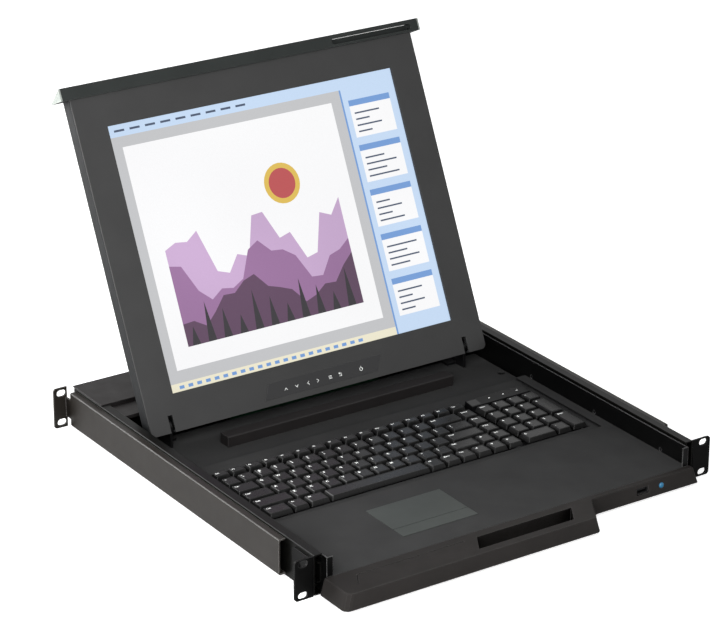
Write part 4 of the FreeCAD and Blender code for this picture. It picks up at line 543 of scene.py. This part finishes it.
@dataclass
class Keyboard:
    """Dished key caps with printed legends, by key group, and the indicator strip's marks."""

    cap_height: float = 5.0 * MM
    side_taper: float = 2.0 * MM
    back_taper: float = 1.5 * MM
    rim: float = 0.9 * MM
    dish: float = 0.25 * MM
    corner: float = 0.5 * MM
    stem: float = 4.0 * MM
    letter: float = 4.2 * MM
    word: float = 2.9 * MM
    pair_share: float = 1.1
    baseline_share: float = 0.75
    arrow_radius_share: float = 0.4
    arrow_inset_share: float = 0.45
    legend_inset: float = 0.7 * MM
    ink_lift: float = 0.03 * MM
    strip_fall: float = 1.6 * MM
    mark: float = 2.0 * MM
    mark_places: tuple[float, ...] = (0.36, 0.6, 0.84)
    mark_span: tuple[float, float] = (0.52, 0.6)
    window: float = 11.0 * MM
    window_span: tuple[float, float] = (0.12, 0.88)

    def build(self) -> None:
        """Make every group of keys and its legends."""
        for node, legends in KEY_LEGENDS.items():
            cells = node_islands(node)
            caps = bmesh.new()
            ink = bmesh.new()
            for (low, high), legend in zip(cells, legends, strict=True):
                self._add_cap(caps, low, high)
                self._add_legend(ink, low, high, legend)
            piece = add_piece(node + "_caps", caps, node, [FINISHES.key])
            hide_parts(node)
            if ink.verts:
                add_piece(node + "_legends", ink, node, [FINISHES.legend])
            else:
                ink.free()
        self._add_indicator()

    def _add_indicator(self) -> None:
        """Print the lock marks and the dark window on the strip above the number pad."""
        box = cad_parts["indicator_window"].bound_box
        low, high = corners_of([Vector(corner) for corner in box])
        front = Vector((0.0, low.y + self.side_taper, high.z - self.strip_fall))
        rear = Vector((0.0, high.y, high.z))
        finishes = [FINISHES.window, FINISHES.legend]
        marks = bmesh.new()
        for share in self.mark_places:
            self._add_patch(marks, low.x + share * (high.x - low.x), self.mark, front, rear,
                            self.mark_span, finishes.index(FINISHES.legend))
        self._add_patch(marks, low.x + self.window / 2 + self.rim, self.window, front, rear,
                        self.window_span, finishes.index(FINISHES.window))
        add_piece("indicator_marks", marks, "drawer", finishes)

    def _add_patch(self, target: bmesh.types.BMesh, middle: float, width: float, front: Vector,
                   rear: Vector, span: tuple[float, float], ink: int) -> None:
        """Lay one printed patch on the strip's slanted top.

        Args:
            target: Shape that receives the patch.
            middle: Where its middle lies along the strip.
            width: Its width along the strip.
            front: Front edge of the slanted top.
            rear: Rear edge of the slanted top.
            span: Where it begins and ends between the two edges, as shares.
            ink: Material index.
        """
        rise = Vector((0.0, 0.0, self.ink_lift))
        places = [(middle - width / 2, span[0]), (middle + width / 2, span[0]),
                  (middle + width / 2, span[1]), (middle - width / 2, span[1])]
        verts = []
        for x, share in places:
            spot = front.lerp(rear, share) + rise
            verts.append(target.verts.new((x, spot.y, spot.z)))
        target.faces.new(verts).material_index = ink

    def _add_cap(self, target: bmesh.types.BMesh, low: Vector, high: Vector) -> None:
        """Add one key cap with its stem.

        Args:
            target: Shape that receives the cap.
            low: Lowest corner of the CAD key.
            high: Highest corner of the CAD key.
        """
        cap = bmesh.new()
        bmesh.ops.create_cube(cap, size=1.0)
        size = Vector((high.x - low.x, high.y - low.y, self.cap_height))
        centre = Vector(((low.x + high.x) / 2, (low.y + high.y) / 2,
                         high.z - self.cap_height / 2))
        bmesh.ops.scale(cap, vec=size, verts=cap.verts)
        top = [v for v in cap.verts if v.co.z > 0]
        for vert in top:
            vert.co.x -= math.copysign(self.side_taper, vert.co.x)
            vert.co.y -= math.copysign(self.back_taper, vert.co.y)
        corners = [e for e in cap.edges if e.verts[0].co.z > 0 or e.verts[1].co.z > 0]
        bmesh.ops.bevel(cap, geom=corners, offset=self.corner, offset_type="OFFSET", segments=2,
                        profile=0.5, affect="EDGES", material=-1)
        face = max(cap.faces, key=lambda f: f.calc_center_median().z)
        bmesh.ops.inset_region(cap, faces=[face], thickness=self.rim, depth=-self.dish,
                               use_even_offset=True)
        foot = bmesh.new()
        bmesh.ops.create_cube(foot, size=self.stem)
        length = high.z - low.z - self.cap_height + self.corner
        bmesh.ops.scale(foot, vec=(1.0, 1.0, length / self.stem), verts=foot.verts)
        bmesh.ops.translate(foot, vec=(0, 0, low.z + length / 2 - centre.z), verts=foot.verts)
        merge_into(cap, foot)
        bmesh.ops.translate(cap, vec=centre, verts=cap.verts)
        merge_into(target, cap)

    def _add_legend(self, target: bmesh.types.BMesh, low: Vector, high: Vector,
                    legend: str) -> None:
        """Print one legend on a key's top.

        Args:
            target: Shape that receives the ink.
            low: Lowest corner of the CAD key.
            high: Highest corner of the CAD key.
            legend: Its words, or the name of an arrow.
        """
        if not legend:
            return
        left = low.x + self.side_taper + self.rim + self.legend_inset
        rear = high.y - self.back_taper - self.rim - self.legend_inset
        corner = Vector((left, rear, high.z - self.dish + self.ink_lift))
        if legend in ARROW_TURNS:
            ink = self._arrow(ARROW_TURNS[legend])
            inset = self.letter * self.arrow_inset_share
            shift = Vector((inset, -inset, 0.0))
        else:
            size = self._type_size(legend)
            ink = text_shape(legend, size)
            shift = Vector((0.0, -size * self.baseline_share, 0.0))
        bmesh.ops.translate(ink, vec=corner + shift, verts=ink.verts)
        merge_into(target, ink)

    def _type_size(self, legend: str) -> float:
        """Height of a legend's type.

        Args:
            legend: One sign, a word, or two signs one above the other.

        Returns:
            The height of its letters.
        """
        if "\n" in legend:
            return self.word * self.pair_share
        return self.letter if len(legend) == 1 else self.word

    def _arrow(self, turn: float) -> bmesh.types.BMesh:
        """Flat arrow head, turned from one that points to the rear.

        Args:
            turn: Degrees, counter-clockwise from above.

        Returns:
            The arrow head.
        """
        arrow = bmesh.new()
        bmesh.ops.create_circle(arrow, cap_ends=True, segments=3,
                                radius=self.letter * self.arrow_radius_share)
        matrix = Matrix.Rotation(math.radians(turn), 4, "Z")
        bmesh.ops.transform(arrow, matrix=matrix, verts=arrow.verts)
        return arrow


def merge_into(target: bmesh.types.BMesh, part: bmesh.types.BMesh) -> None:
    """Add a shape to another one and free it.

    Args:
        target: Shape that grows.
        part: Shape that is added and freed.
    """
    data = bpy.data.meshes.new("part")
    part.to_mesh(data)
    part.free()
    target.from_mesh(data)
    bpy.data.meshes.remove(data)


@dataclass(frozen=True)
class Lettering:
    """How the printed letters are drawn, in shares of their height, and steps per curve."""

    boldness: float = 0.03
    leading: float = 0.9
    steps: int = 2


LETTERING = Lettering()


def text_shape(words: str, size: float) -> bmesh.types.BMesh:
    """Flat letters on the XY plane, with their first baseline at the origin.

    Args:
        words: What they say.
        size: Height of the type.

    Returns:
        The letters as a mesh.
    """
    curve = bpy.data.curves.new("legend_curve", "FONT")
    curve.body = words
    curve.size = size
    curve.resolution_u = LETTERING.steps
    curve.offset = size * LETTERING.boldness
    curve.space_line = LETTERING.leading
    holder = bpy.data.objects.new("legend_holder", curve)
    bpy.context.scene.collection.objects.link(holder)
    bpy.context.view_layer.update()
    graph = bpy.context.evaluated_depsgraph_get()
    mesh = bpy.data.meshes.new_from_object(holder.evaluated_get(graph))
    shape = bmesh.new()
    shape.from_mesh(mesh)
    bmesh.ops.dissolve_degenerate(shape, dist=WELD, edges=shape.edges)
    bpy.data.meshes.remove(mesh)
    bpy.data.objects.remove(holder)
    bpy.data.curves.remove(curve)
    return shape


@dataclass(frozen=True)
class LitColour:
    """A lit area of the screen: a glowing colour with fine dots and soft clouds."""

    name: str
    colour: Colour
    drift: float = 0.06
    strength: float = 1.0
    cloud_scale: float = 5.0
    dot_scale: float = 3400.0
    dot_share: float = 0.08
    unlit: Colour = (0.01, 0.01, 0.012)
    roughness: float = 0.3

    def material(self) -> bpy.types.Material:
        """Build the lit area's material once, and reuse it after that."""
        found = bpy.data.materials.get(self.name)
        return found if found else self._build()

    def _build(self) -> bpy.types.Material:
        """Lay out the lit area's nodes.

        Returns:
            The new material.
        """
        made = bpy.data.materials.new(self.name)
        graph = Graph(made)
        cloud = graph.ranged(graph.noise(self.cloud_scale, 1.0), 0.0, 1.0)
        colour = graph.mixed(cloud, scaled(self.colour, 1 - self.drift), self.colour)
        dots = graph.ranged(graph.noise(self.dot_scale, 0.0), 0.0, self.dot_share)
        settings = {"Emission Color": graph.mixed(dots, colour, (0.0, 0.0, 0.0)),
                    "Emission Strength": self.strength, "Base Color": (*self.unlit, 1.0),
                    "Roughness": self.roughness}
        shader = graph.node("BsdfPrincipled")
        for name, setting in settings.items():
            graph.feed(shader.inputs[name], setting)
        graph.send_out(shader.outputs["BSDF"])
        return made


class Ink(Enum):
    """Lit colours of the screen's picture."""

    PAPER = LitColour("lit_paper", shade("fbfbfc"))
    CANVAS = LitColour("lit_canvas", shade("c3c4c6"))
    SKY = LitColour("lit_pale_blue", shade("c6dcf6"))
    BAR = LitColour("lit_blue", shade("6f9bd6"))
    LINE = LitColour("lit_slate", shade("3c4c66"))
    CREAM = LitColour("lit_cream", shade("efe9cf"))
    LILAC = LitColour("lit_lilac", shade("cfaed6"), 0.25)
    MAUVE = LitColour("lit_mauve", shade("9c6f9f"), 0.25)
    PLUM = LitColour("lit_plum", shade("5b3858"), 0.3)
    NIGHT = LitColour("lit_night", shade("1d161d"), 0.3)
    EMBER = LitColour("lit_ember", shade("c2494a"), 0.2)
    STRAW = LitColour("lit_straw", shade("e8c34e"), 0.2)


def open_ring(radius: float, opening: float = 0.6, steps: int = 14) -> Outline:
    """Points of a ring that is open at its top.

    Args:
        radius: Radius of the ring.
        opening: Half of the opening, in radians.
        steps: Number of straight strokes.

    Returns:
        Points from the left end of the opening round to its right end.
    """
    sweep = 2 * (math.pi - opening)
    angles = [math.pi / 2 + opening + sweep * i / steps for i in range(steps + 1)]
    return [(radius * math.cos(angle), radius * math.sin(angle)) for angle in angles]


# Strokes of each menu symbol, in halves of the symbol's size about its middle
SYMBOL_STROKES: dict[str, list[Outline]] = {
    "up": [[(-1, -0.6), (0, 0.6), (1, -0.6)]],
    "down": [[(-1, 0.6), (0, -0.6), (1, 0.6)]],
    "left": [[(0.6, -1), (-0.6, 0), (0.6, 1)]],
    "right": [[(-0.6, -1), (0.6, 0), (-0.6, 1)]],
    "list": [[(-1, row), (1, row)] for row in (-0.8125, 0.0, 0.8125)],
    "back": [[(-0.2, 0.2), (-1, 0.8), (-0.2, 1.3)],
             [(-1, 0.8125), (0.8125, 0.8125), (0.8125, -0.875), (-0.6875, -0.875)]],
    "power": [open_ring(1.0625), [(0, 0.375), (0, 1.625)]],
}
# Where each symbol stands along the overlay, from its middle to the right
SYMBOL_PLACES: dict[str, float] = {
    "up": -43.7 * MM, "down": -30.6 * MM, "left": -16.9 * MM, "right": -5.3 * MM,
    "list": 9.8 * MM, "back": 21.9 * MM, "power": 47.4 * MM,
}


@dataclass
class Display:
    """The lit picture on the screen and the menu overlay's symbols, both on the tilted display."""

    hinge: Vector = field(default_factory=lambda: Vector((0.0, 327.2 * MM, 11.2 * MM)))
    tilt: float = math.radians(-25.4)
    panel_front: float = -6.5 * MM
    screen_low: float = 30.15 * MM
    screen_width: float = 337.9 * MM
    screen_height: float = 270.3 * MM
    layer: float = 0.02 * MM
    overlay_front: float = -9.5 * MM
    symbol_height: float = 5.6 * MM
    symbol_size: float = 3.2 * MM
    stroke: float = 0.45 * MM

    def place(self) -> Matrix:
        """Matrix from the display's own axes to the console's."""
        return Matrix.Translation(self.hinge) @ Matrix.Rotation(self.tilt, 4, "X")

    def build(self) -> None:
        """Make the picture and the symbols."""
        self._picture()
        self._symbols()

    def _picture(self) -> None:
        """Lay the picture out in layers of lit shapes."""
        shape = bmesh.new()
        inks = list(Ink)
        for ink, level, outline in Picture().shapes():
            self._plate(shape, outline, level, inks.index(ink))
        bmesh.ops.transform(shape, matrix=self.place(), verts=shape.verts)
        add_piece("screen_picture", shape, "display", [ink.value for ink in inks])

    def _plate(self, shape: bmesh.types.BMesh, outline: Outline, level: int,
               index: int) -> None:
        """Add one flat lit shape.

        Args:
            shape: Mesh that receives it.
            outline: Corners as shares of the screen's width and height, counter-clockwise.
            level: Layer above the panel.
            index: Material index.
        """
        y = self.panel_front - self.layer * (level + 1)
        verts = [shape.verts.new(((u - 0.5) * self.screen_width, y,
                                  self.screen_low + v * self.screen_height))
                 for u, v in outline]
        face = shape.faces.new(verts)
        face.normal_update()
        if face.normal.y > 0:
            face.normal_flip()
        face.material_index = index

    def _symbols(self) -> None:
        """Draw the symbols of the menu keys."""
        shape = bmesh.new()
        half = self.symbol_size / 2
        for name, lines in SYMBOL_STROKES.items():
            middle = Vector((SYMBOL_PLACES[name], 0.0, self.symbol_height))
            for line in lines:
                spots = [middle + half * Vector((x, 0.0, z)) for x, z in line]
                for start, end in zip(spots, spots[1:]):
                    self._stroke(shape, start, end)
        bmesh.ops.transform(shape, matrix=self.place(), verts=shape.verts)
        add_piece("menu_symbols", shape, "display", [FINISHES.legend])

    def _stroke(self, shape: bmesh.types.BMesh, start: Vector, end: Vector) -> None:
        """Add one printed stroke between two points of the overlay.

        Args:
            shape: Mesh that receives it.
            start: First end.
            end: Second end.
        """
        run = end - start
        part = bmesh.new()
        bmesh.ops.create_cube(part, size=1.0)
        scale = (run.length + self.stroke, self.layer, self.stroke)
        bmesh.ops.scale(part, vec=scale, verts=part.verts)
        turn = Matrix.Rotation(-math.atan2(run.z, run.x), 4, "Y")
        middle = (start + end) / 2
        middle.y = self.overlay_front
        bmesh.ops.transform(part, matrix=Matrix.Translation(middle) @ turn, verts=part.verts)
        merge_into(shape, part)


SCREEN_SIDES = (5, 4)


def rectangle(left: float, right: float, bottom: float, top: float) -> Outline:
    """Corners of an upright rectangle."""
    return [(left, bottom), (right, bottom), (right, top), (left, top)]


def disc(u: float, v: float, radius: float, sides: int = 28) -> Outline:
    """Corners of a round shape in shares of the screen.

    Args:
        u: Its middle, as a share of the width.
        v: Its middle, as a share of the height.
        radius: Its radius, as a share of the width.
        sides: Number of corners.

    Returns:
        Corners, drawn taller in shares by the screen's own proportions.
    """
    stretch = SCREEN_SIDES[0] / SCREEN_SIDES[1]
    turns = [2 * math.pi * i / sides for i in range(sides)]
    return [(u + radius * math.cos(turn), v + stretch * radius * math.sin(turn))
            for turn in turns]


def ridge(left: float, right: float, base: float, heights: list[float]) -> Outline:
    """Outline of a range of hills above a base line.

    Args:
        left: Left end.
        right: Right end.
        base: Height of the base line.
        heights: Heights along the crest, from left to right.

    Returns:
        Corners, counter-clockwise.
    """
    count = len(heights) - 1
    crest = [(left + (right - left) * i / count, height) for i, height in enumerate(heights)]
    return [(left, base), (right, base)] + crest[::-1]


PictureShape = tuple[Ink, int, Outline]


@dataclass(frozen=True)
class HillRange:
    """One range of hills: its mean height, with a long wave and a short one along it."""

    ink: Ink
    height: float
    wave: float
    wave_pace: float
    wave_start: float
    ripple: float
    ripple_pace: float
    ripple_start: float = 0.0

    def crest(self, points: int) -> list[float]:
        """Heights along the crest."""
        return [self.height + self.wave * math.sin(i * self.wave_pace + self.wave_start)
                + self.ripple * math.sin(i * self.ripple_pace + self.ripple_start)
                for i in range(points)]


@dataclass(frozen=True)
class HillScene:
    """Layered hills and trees under a low sun, in shares of the screen's width and height."""

    left: float = 0.09
    right: float = 0.71
    base: float = 0.15
    crest_points: int = 17
    ranges: tuple[HillRange, ...] = (
        HillRange(Ink.LILAC, 0.47, 0.09, 0.9, 0.0, 0.05, 2.3, 1.0),
        HillRange(Ink.MAUVE, 0.38, 0.08, 0.7, 2.0, 0.03, 1.9),
        HillRange(Ink.PLUM, 0.28, 0.06, 0.6, 4.0, 0.02, 2.1))
    sun: tuple[float, float] = (0.53, 0.66)
    sun_radius: float = 0.046
    glow_radius: float = 0.062
    trees: int = 11
    tree_inset: float = 0.03
    tree_pitch: float = 0.055
    tree_half_width: float = 0.014
    tree_height: float = 0.07
    tree_step: float = 0.04

    def shapes(self, level: int) -> list[PictureShape]:
        """Every shape of the scene.

        Args:
            level: Lowest layer that it may use.

        Returns:
            Ink, layer and outline of each shape.
        """
        found = [(Ink.STRAW, level, disc(*self.sun, self.glow_radius)),
                 (Ink.EMBER, level + 1, disc(*self.sun, self.sun_radius))]
        for hills in self.ranges:
            crest = hills.crest(self.crest_points)
            found.append((hills.ink, level + len(found),
                          ridge(self.left, self.right, self.base, crest)))
        front = level + len(found)
        for i in range(self.trees):
            foot = self.left + self.tree_inset + i * self.tree_pitch
            height = self.tree_height + self.tree_step * (i * 5 % 3)
            found.append((Ink.NIGHT, front, [(foot - self.tree_half_width, self.base),
                                             (foot + self.tree_half_width, self.base),
                                             (foot, self.base + height)]))
        return found


@dataclass(frozen=True)
class Picture:
    """The screen's picture: a page with a hill scene, a side column of cards and rows of marks.

    Places and sizes are shares of the screen's width and height.
    """

    column: float = 0.80
    column_line: float = 0.006
    header: float = 0.955
    footer: float = 0.03
    page: tuple[float, float, float, float] = (0.035, 0.765, 0.075, 0.915)
    words: int = 9
    words_left: float = 0.02
    word_pitch: float = 0.052
    word_width: float = 0.034
    word_band: tuple[float, float] = (0.973, 0.981)
    cards: int = 5
    card_sides: tuple[float, float] = (0.825, 0.975)
    card_first: float = 0.765
    card_pitch: float = 0.175
    card_height: float = 0.145
    card_title: float = 0.122
    lines: int = 4
    line_left: float = 0.838
    line_first: float = 0.018
    line_pitch: float = 0.024
    line_height: float = 0.006
    line_width: float = 0.05
    line_step: float = 0.02
    icons: int = 22
    icon_pitch: float = 0.03
    icon_width: float = 0.016
    icon_band: tuple[float, float] = (0.008, 0.02)

    def shapes(self) -> list[PictureShape]:
        """Ink, layer and outline of every shape of the picture."""
        found = [(Ink.CANVAS, 0, rectangle(0, 1, 0, 1)),
                 (Ink.SKY, 1, rectangle(0, 1, self.header, 1)),
                 (Ink.SKY, 1, rectangle(self.column, 1, 0, self.header)),
                 (Ink.CREAM, 1, rectangle(0, self.column, 0, self.footer)),
                 (Ink.PAPER, 1, rectangle(*self.page)),
                 (Ink.BAR, 2, rectangle(self.column, self.column + self.column_line, 0,
                                        self.header))]
        return found + HillScene().shapes(2) + self._words() + self._cards() + self._icons()

    def _words(self) -> list[PictureShape]:
        """Dark marks along the header.

        Returns:
            Ink, layer and outline of each mark.
        """
        lefts = [self.words_left + i * self.word_pitch for i in range(self.words)]
        return [(Ink.LINE, 2, rectangle(left, left + self.word_width, *self.word_band))
                for left in lefts]

    def _cards(self) -> list[PictureShape]:
        """Cards of the side column, each with a title bar and lines of uneven length.

        Returns:
            Ink, layer and outline of each shape.
        """
        found = []
        for i in range(self.cards):
            low = self.card_first - i * self.card_pitch
            top = low + self.card_height
            found.append((Ink.PAPER, 2, rectangle(*self.card_sides, low, top)))
            found.append((Ink.BAR, 3, rectangle(*self.card_sides, low + self.card_title, top)))
            for j in range(self.lines):
                right = self.line_left + self.line_width + self.line_step * ((i * 3 + j * 2) % 4)
                line = low + self.line_first + j * self.line_pitch
                found.append((Ink.LINE, 3, rectangle(self.line_left, right, line,
                                                     line + self.line_height)))
        return found

    def _icons(self) -> list[PictureShape]:
        """Small marks along the footer.

        Returns:
            Ink, layer and outline of each mark.
        """
        lefts = [self.footer + i * self.icon_pitch for i in range(self.icons)]
        return [(Ink.BAR, 2, rectangle(left, left + self.icon_width, *self.icon_band))
                for left in lefts]


@dataclass(frozen=True)
class SoftBox:
    """A soft rectangular lamp: where it hangs, its width and height, and its power in watts."""

    name: str
    place: tuple[float, float, float]
    size: tuple[float, float]
    power: float

    def hang(self, aim: Vector) -> None:
        """Hang the lamp so that it faces a point.

        Args:
            aim: The point.
        """
        data = bpy.data.lights.new(self.name, "AREA")
        data.shape = "RECTANGLE"
        data.size, data.size_y = self.size
        data.energy = self.power
        lamp = bpy.data.objects.new(self.name, data)
        lamp.visible_camera = False
        spot = Vector(self.place)
        turn = (spot - aim).to_track_quat("Z", "Y").to_matrix().to_4x4()
        lamp.matrix_world = Matrix.Translation(spot) @ turn
        bpy.context.scene.collection.objects.link(lamp)


@dataclass
class Studio:
    """Camera, lamps, floor and world."""

    lens: float = 151.215414
    sensor: float = 36.0
    shift: tuple[float, float] = (-0.022085635, 0.001256907)
    far_clip: float = 50.0
    azimuth: float = -34.53
    elevation: float = 22.83
    roll: float = 0.44
    target: Vector = field(default_factory=lambda: Vector((171.92, 472.31, -2.0)) * MM)
    distance: float = 3296.04 * MM
    floor_size: float = 30.0
    floor_drop: float = 0.5 * MM
    floor_tone: float = 0.86
    floor_roughness: float = 0.9
    floor_specular: float = 0.1
    floor_lift: float = 0.75
    ambient: float = 0.1
    ambient_colour: Colour = (0.96, 0.98, 1.0)
    aim: Vector = field(default_factory=lambda: Vector((0.0, 0.2, 0.05)))
    soft_boxes: tuple[SoftBox, ...] = (
        SoftBox("front_light", (-0.6, -0.55, 0.6), (1.1, 0.9), 17.0),
        SoftBox("edge_light", (-1.35, 1.75, 0.72), (1.4, 1.2), 70.0),
        SoftBox("top_light", (0.1, -0.4, 2.4), (2.0, 1.6), 5.0))

    def build(self) -> None:
        """Set the whole studio up."""
        self._camera()
        self._world()
        self._floor()
        for lamp in self.soft_boxes:
            lamp.hang(self.aim)
        bpy.context.scene.view_settings.view_transform = "Standard"

    def _camera(self) -> None:
        """Place the camera, turned to the target from its azimuth and elevation."""
        az, el = math.radians(self.azimuth), math.radians(self.elevation)
        back = Vector((math.sin(az) * math.cos(el), -math.cos(az) * math.cos(el), math.sin(el)))
        data = bpy.data.cameras.new("camera")
        data.sensor_width = self.sensor
        data.lens = self.lens
        data.shift_x, data.shift_y = self.shift
        data.clip_end = self.far_clip
        camera = bpy.data.objects.new("camera", data)
        turn = back.to_track_quat("Z", "Y").to_matrix().to_4x4()
        roll = Matrix.Rotation(math.radians(self.roll), 4, "Z")
        camera.matrix_world = Matrix.Translation(self.target + back * self.distance) @ turn @ roll
        bpy.context.scene.collection.objects.link(camera)
        bpy.context.scene.camera = camera

    def _world(self) -> None:
        """White to the camera and in reflections, and a soft even light on the object."""
        world = bpy.data.worlds.new("studio")
        bpy.context.scene.world = world
        graph = Graph(world)
        path = graph.node("LightPath")
        seen_or_mirrored = graph.node("Math", operation="ADD")
        graph.feed(seen_or_mirrored.inputs[0], path.outputs["Is Camera Ray"])
        graph.feed(seen_or_mirrored.inputs[1], path.outputs["Is Glossy Ray"])
        shown = graph.node("Math", operation="ADD", use_clamp=True)
        graph.feed(shown.inputs[0], seen_or_mirrored.outputs[0])
        graph.feed(shown.inputs[1], path.outputs["Is Transmission Ray"])
        mix = graph.node("MixShader")
        graph.feed(mix.inputs["Fac"], shown.outputs[0])
        light = (*self.ambient_colour, 1.0), self.ambient
        white = (1.0, 1.0, 1.0, 1.0), 1.0
        for socket, (colour, strength) in zip(mix.inputs[1:], (light, white), strict=True):
            background = graph.node("Background")
            graph.feed(background.inputs["Color"], colour)
            graph.feed(background.inputs["Strength"], strength)
            graph.feed(socket, background.outputs["Background"])
        graph.send_out(mix.outputs["Shader"], "OutputWorld")

    def _floor(self) -> None:
        """Lay the pale floor just under the console's lowest edge."""
        shape = bmesh.new()
        bmesh.ops.create_grid(shape, x_segments=1, y_segments=1, size=self.floor_size / 2)
        low = CAD_BOX[0][2] - self.floor_drop
        bmesh.ops.translate(shape, vec=(0, 0, low), verts=shape.verts)
        data = bpy.data.meshes.new("floor")
        shape.to_mesh(data)
        shape.free()
        floor = bpy.data.objects.new("floor", data)
        bpy.context.scene.collection.objects.link(floor)
        data.materials.append(self._floor_material())

    def _floor_material(self) -> bpy.types.Material:
        """Matt floor that looks nearly white to the camera, and still shows the shadow.

        Returns:
            The new material.
        """
        made = bpy.data.materials.new("pale_floor")
        graph = Graph(made)
        matt = graph.node("BsdfPrincipled")
        graph.feed(matt.inputs["Base Color"], (*(self.floor_tone,) * 3, 1.0))
        graph.feed(matt.inputs["Roughness"], self.floor_roughness)
        graph.feed(matt.inputs["Specular IOR Level"], self.floor_specular)
        lift = graph.node("Emission")
        graph.feed(lift.inputs["Strength"], self.floor_lift)
        lifted = graph.node("AddShader")
        graph.feed(lifted.inputs[0], matt.outputs["BSDF"])
        graph.feed(lifted.inputs[1], lift.outputs["Emission"])
        mix = graph.node("MixShader")
        graph.feed(mix.inputs["Fac"], graph.node("LightPath").outputs["Is Camera Ray"])
        graph.feed(mix.inputs[1], matt.outputs["BSDF"])
        graph.feed(mix.inputs[2], lifted.outputs["Shader"])
        graph.send_out(mix.outputs["Shader"])
        return made


def dress_nodes() -> None:
    """Give every CAD node that stays in view its finish."""
    for finish, nodes in NODE_FINISHES.items():
        for node in nodes:
            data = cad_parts[node].data
            data.materials.clear()
            data.materials.append(finish.material())
            LOG.info("node %s: %s", node, finish.name)


def main() -> None:
    """Dress the console and set up the studio."""
    logging.basicConfig(level=logging.INFO, format="%(message)s")
    dress_nodes()
    Keyboard().build()
    Display().build()
    Studio().build()


if __name__ == "__main__":
    main()
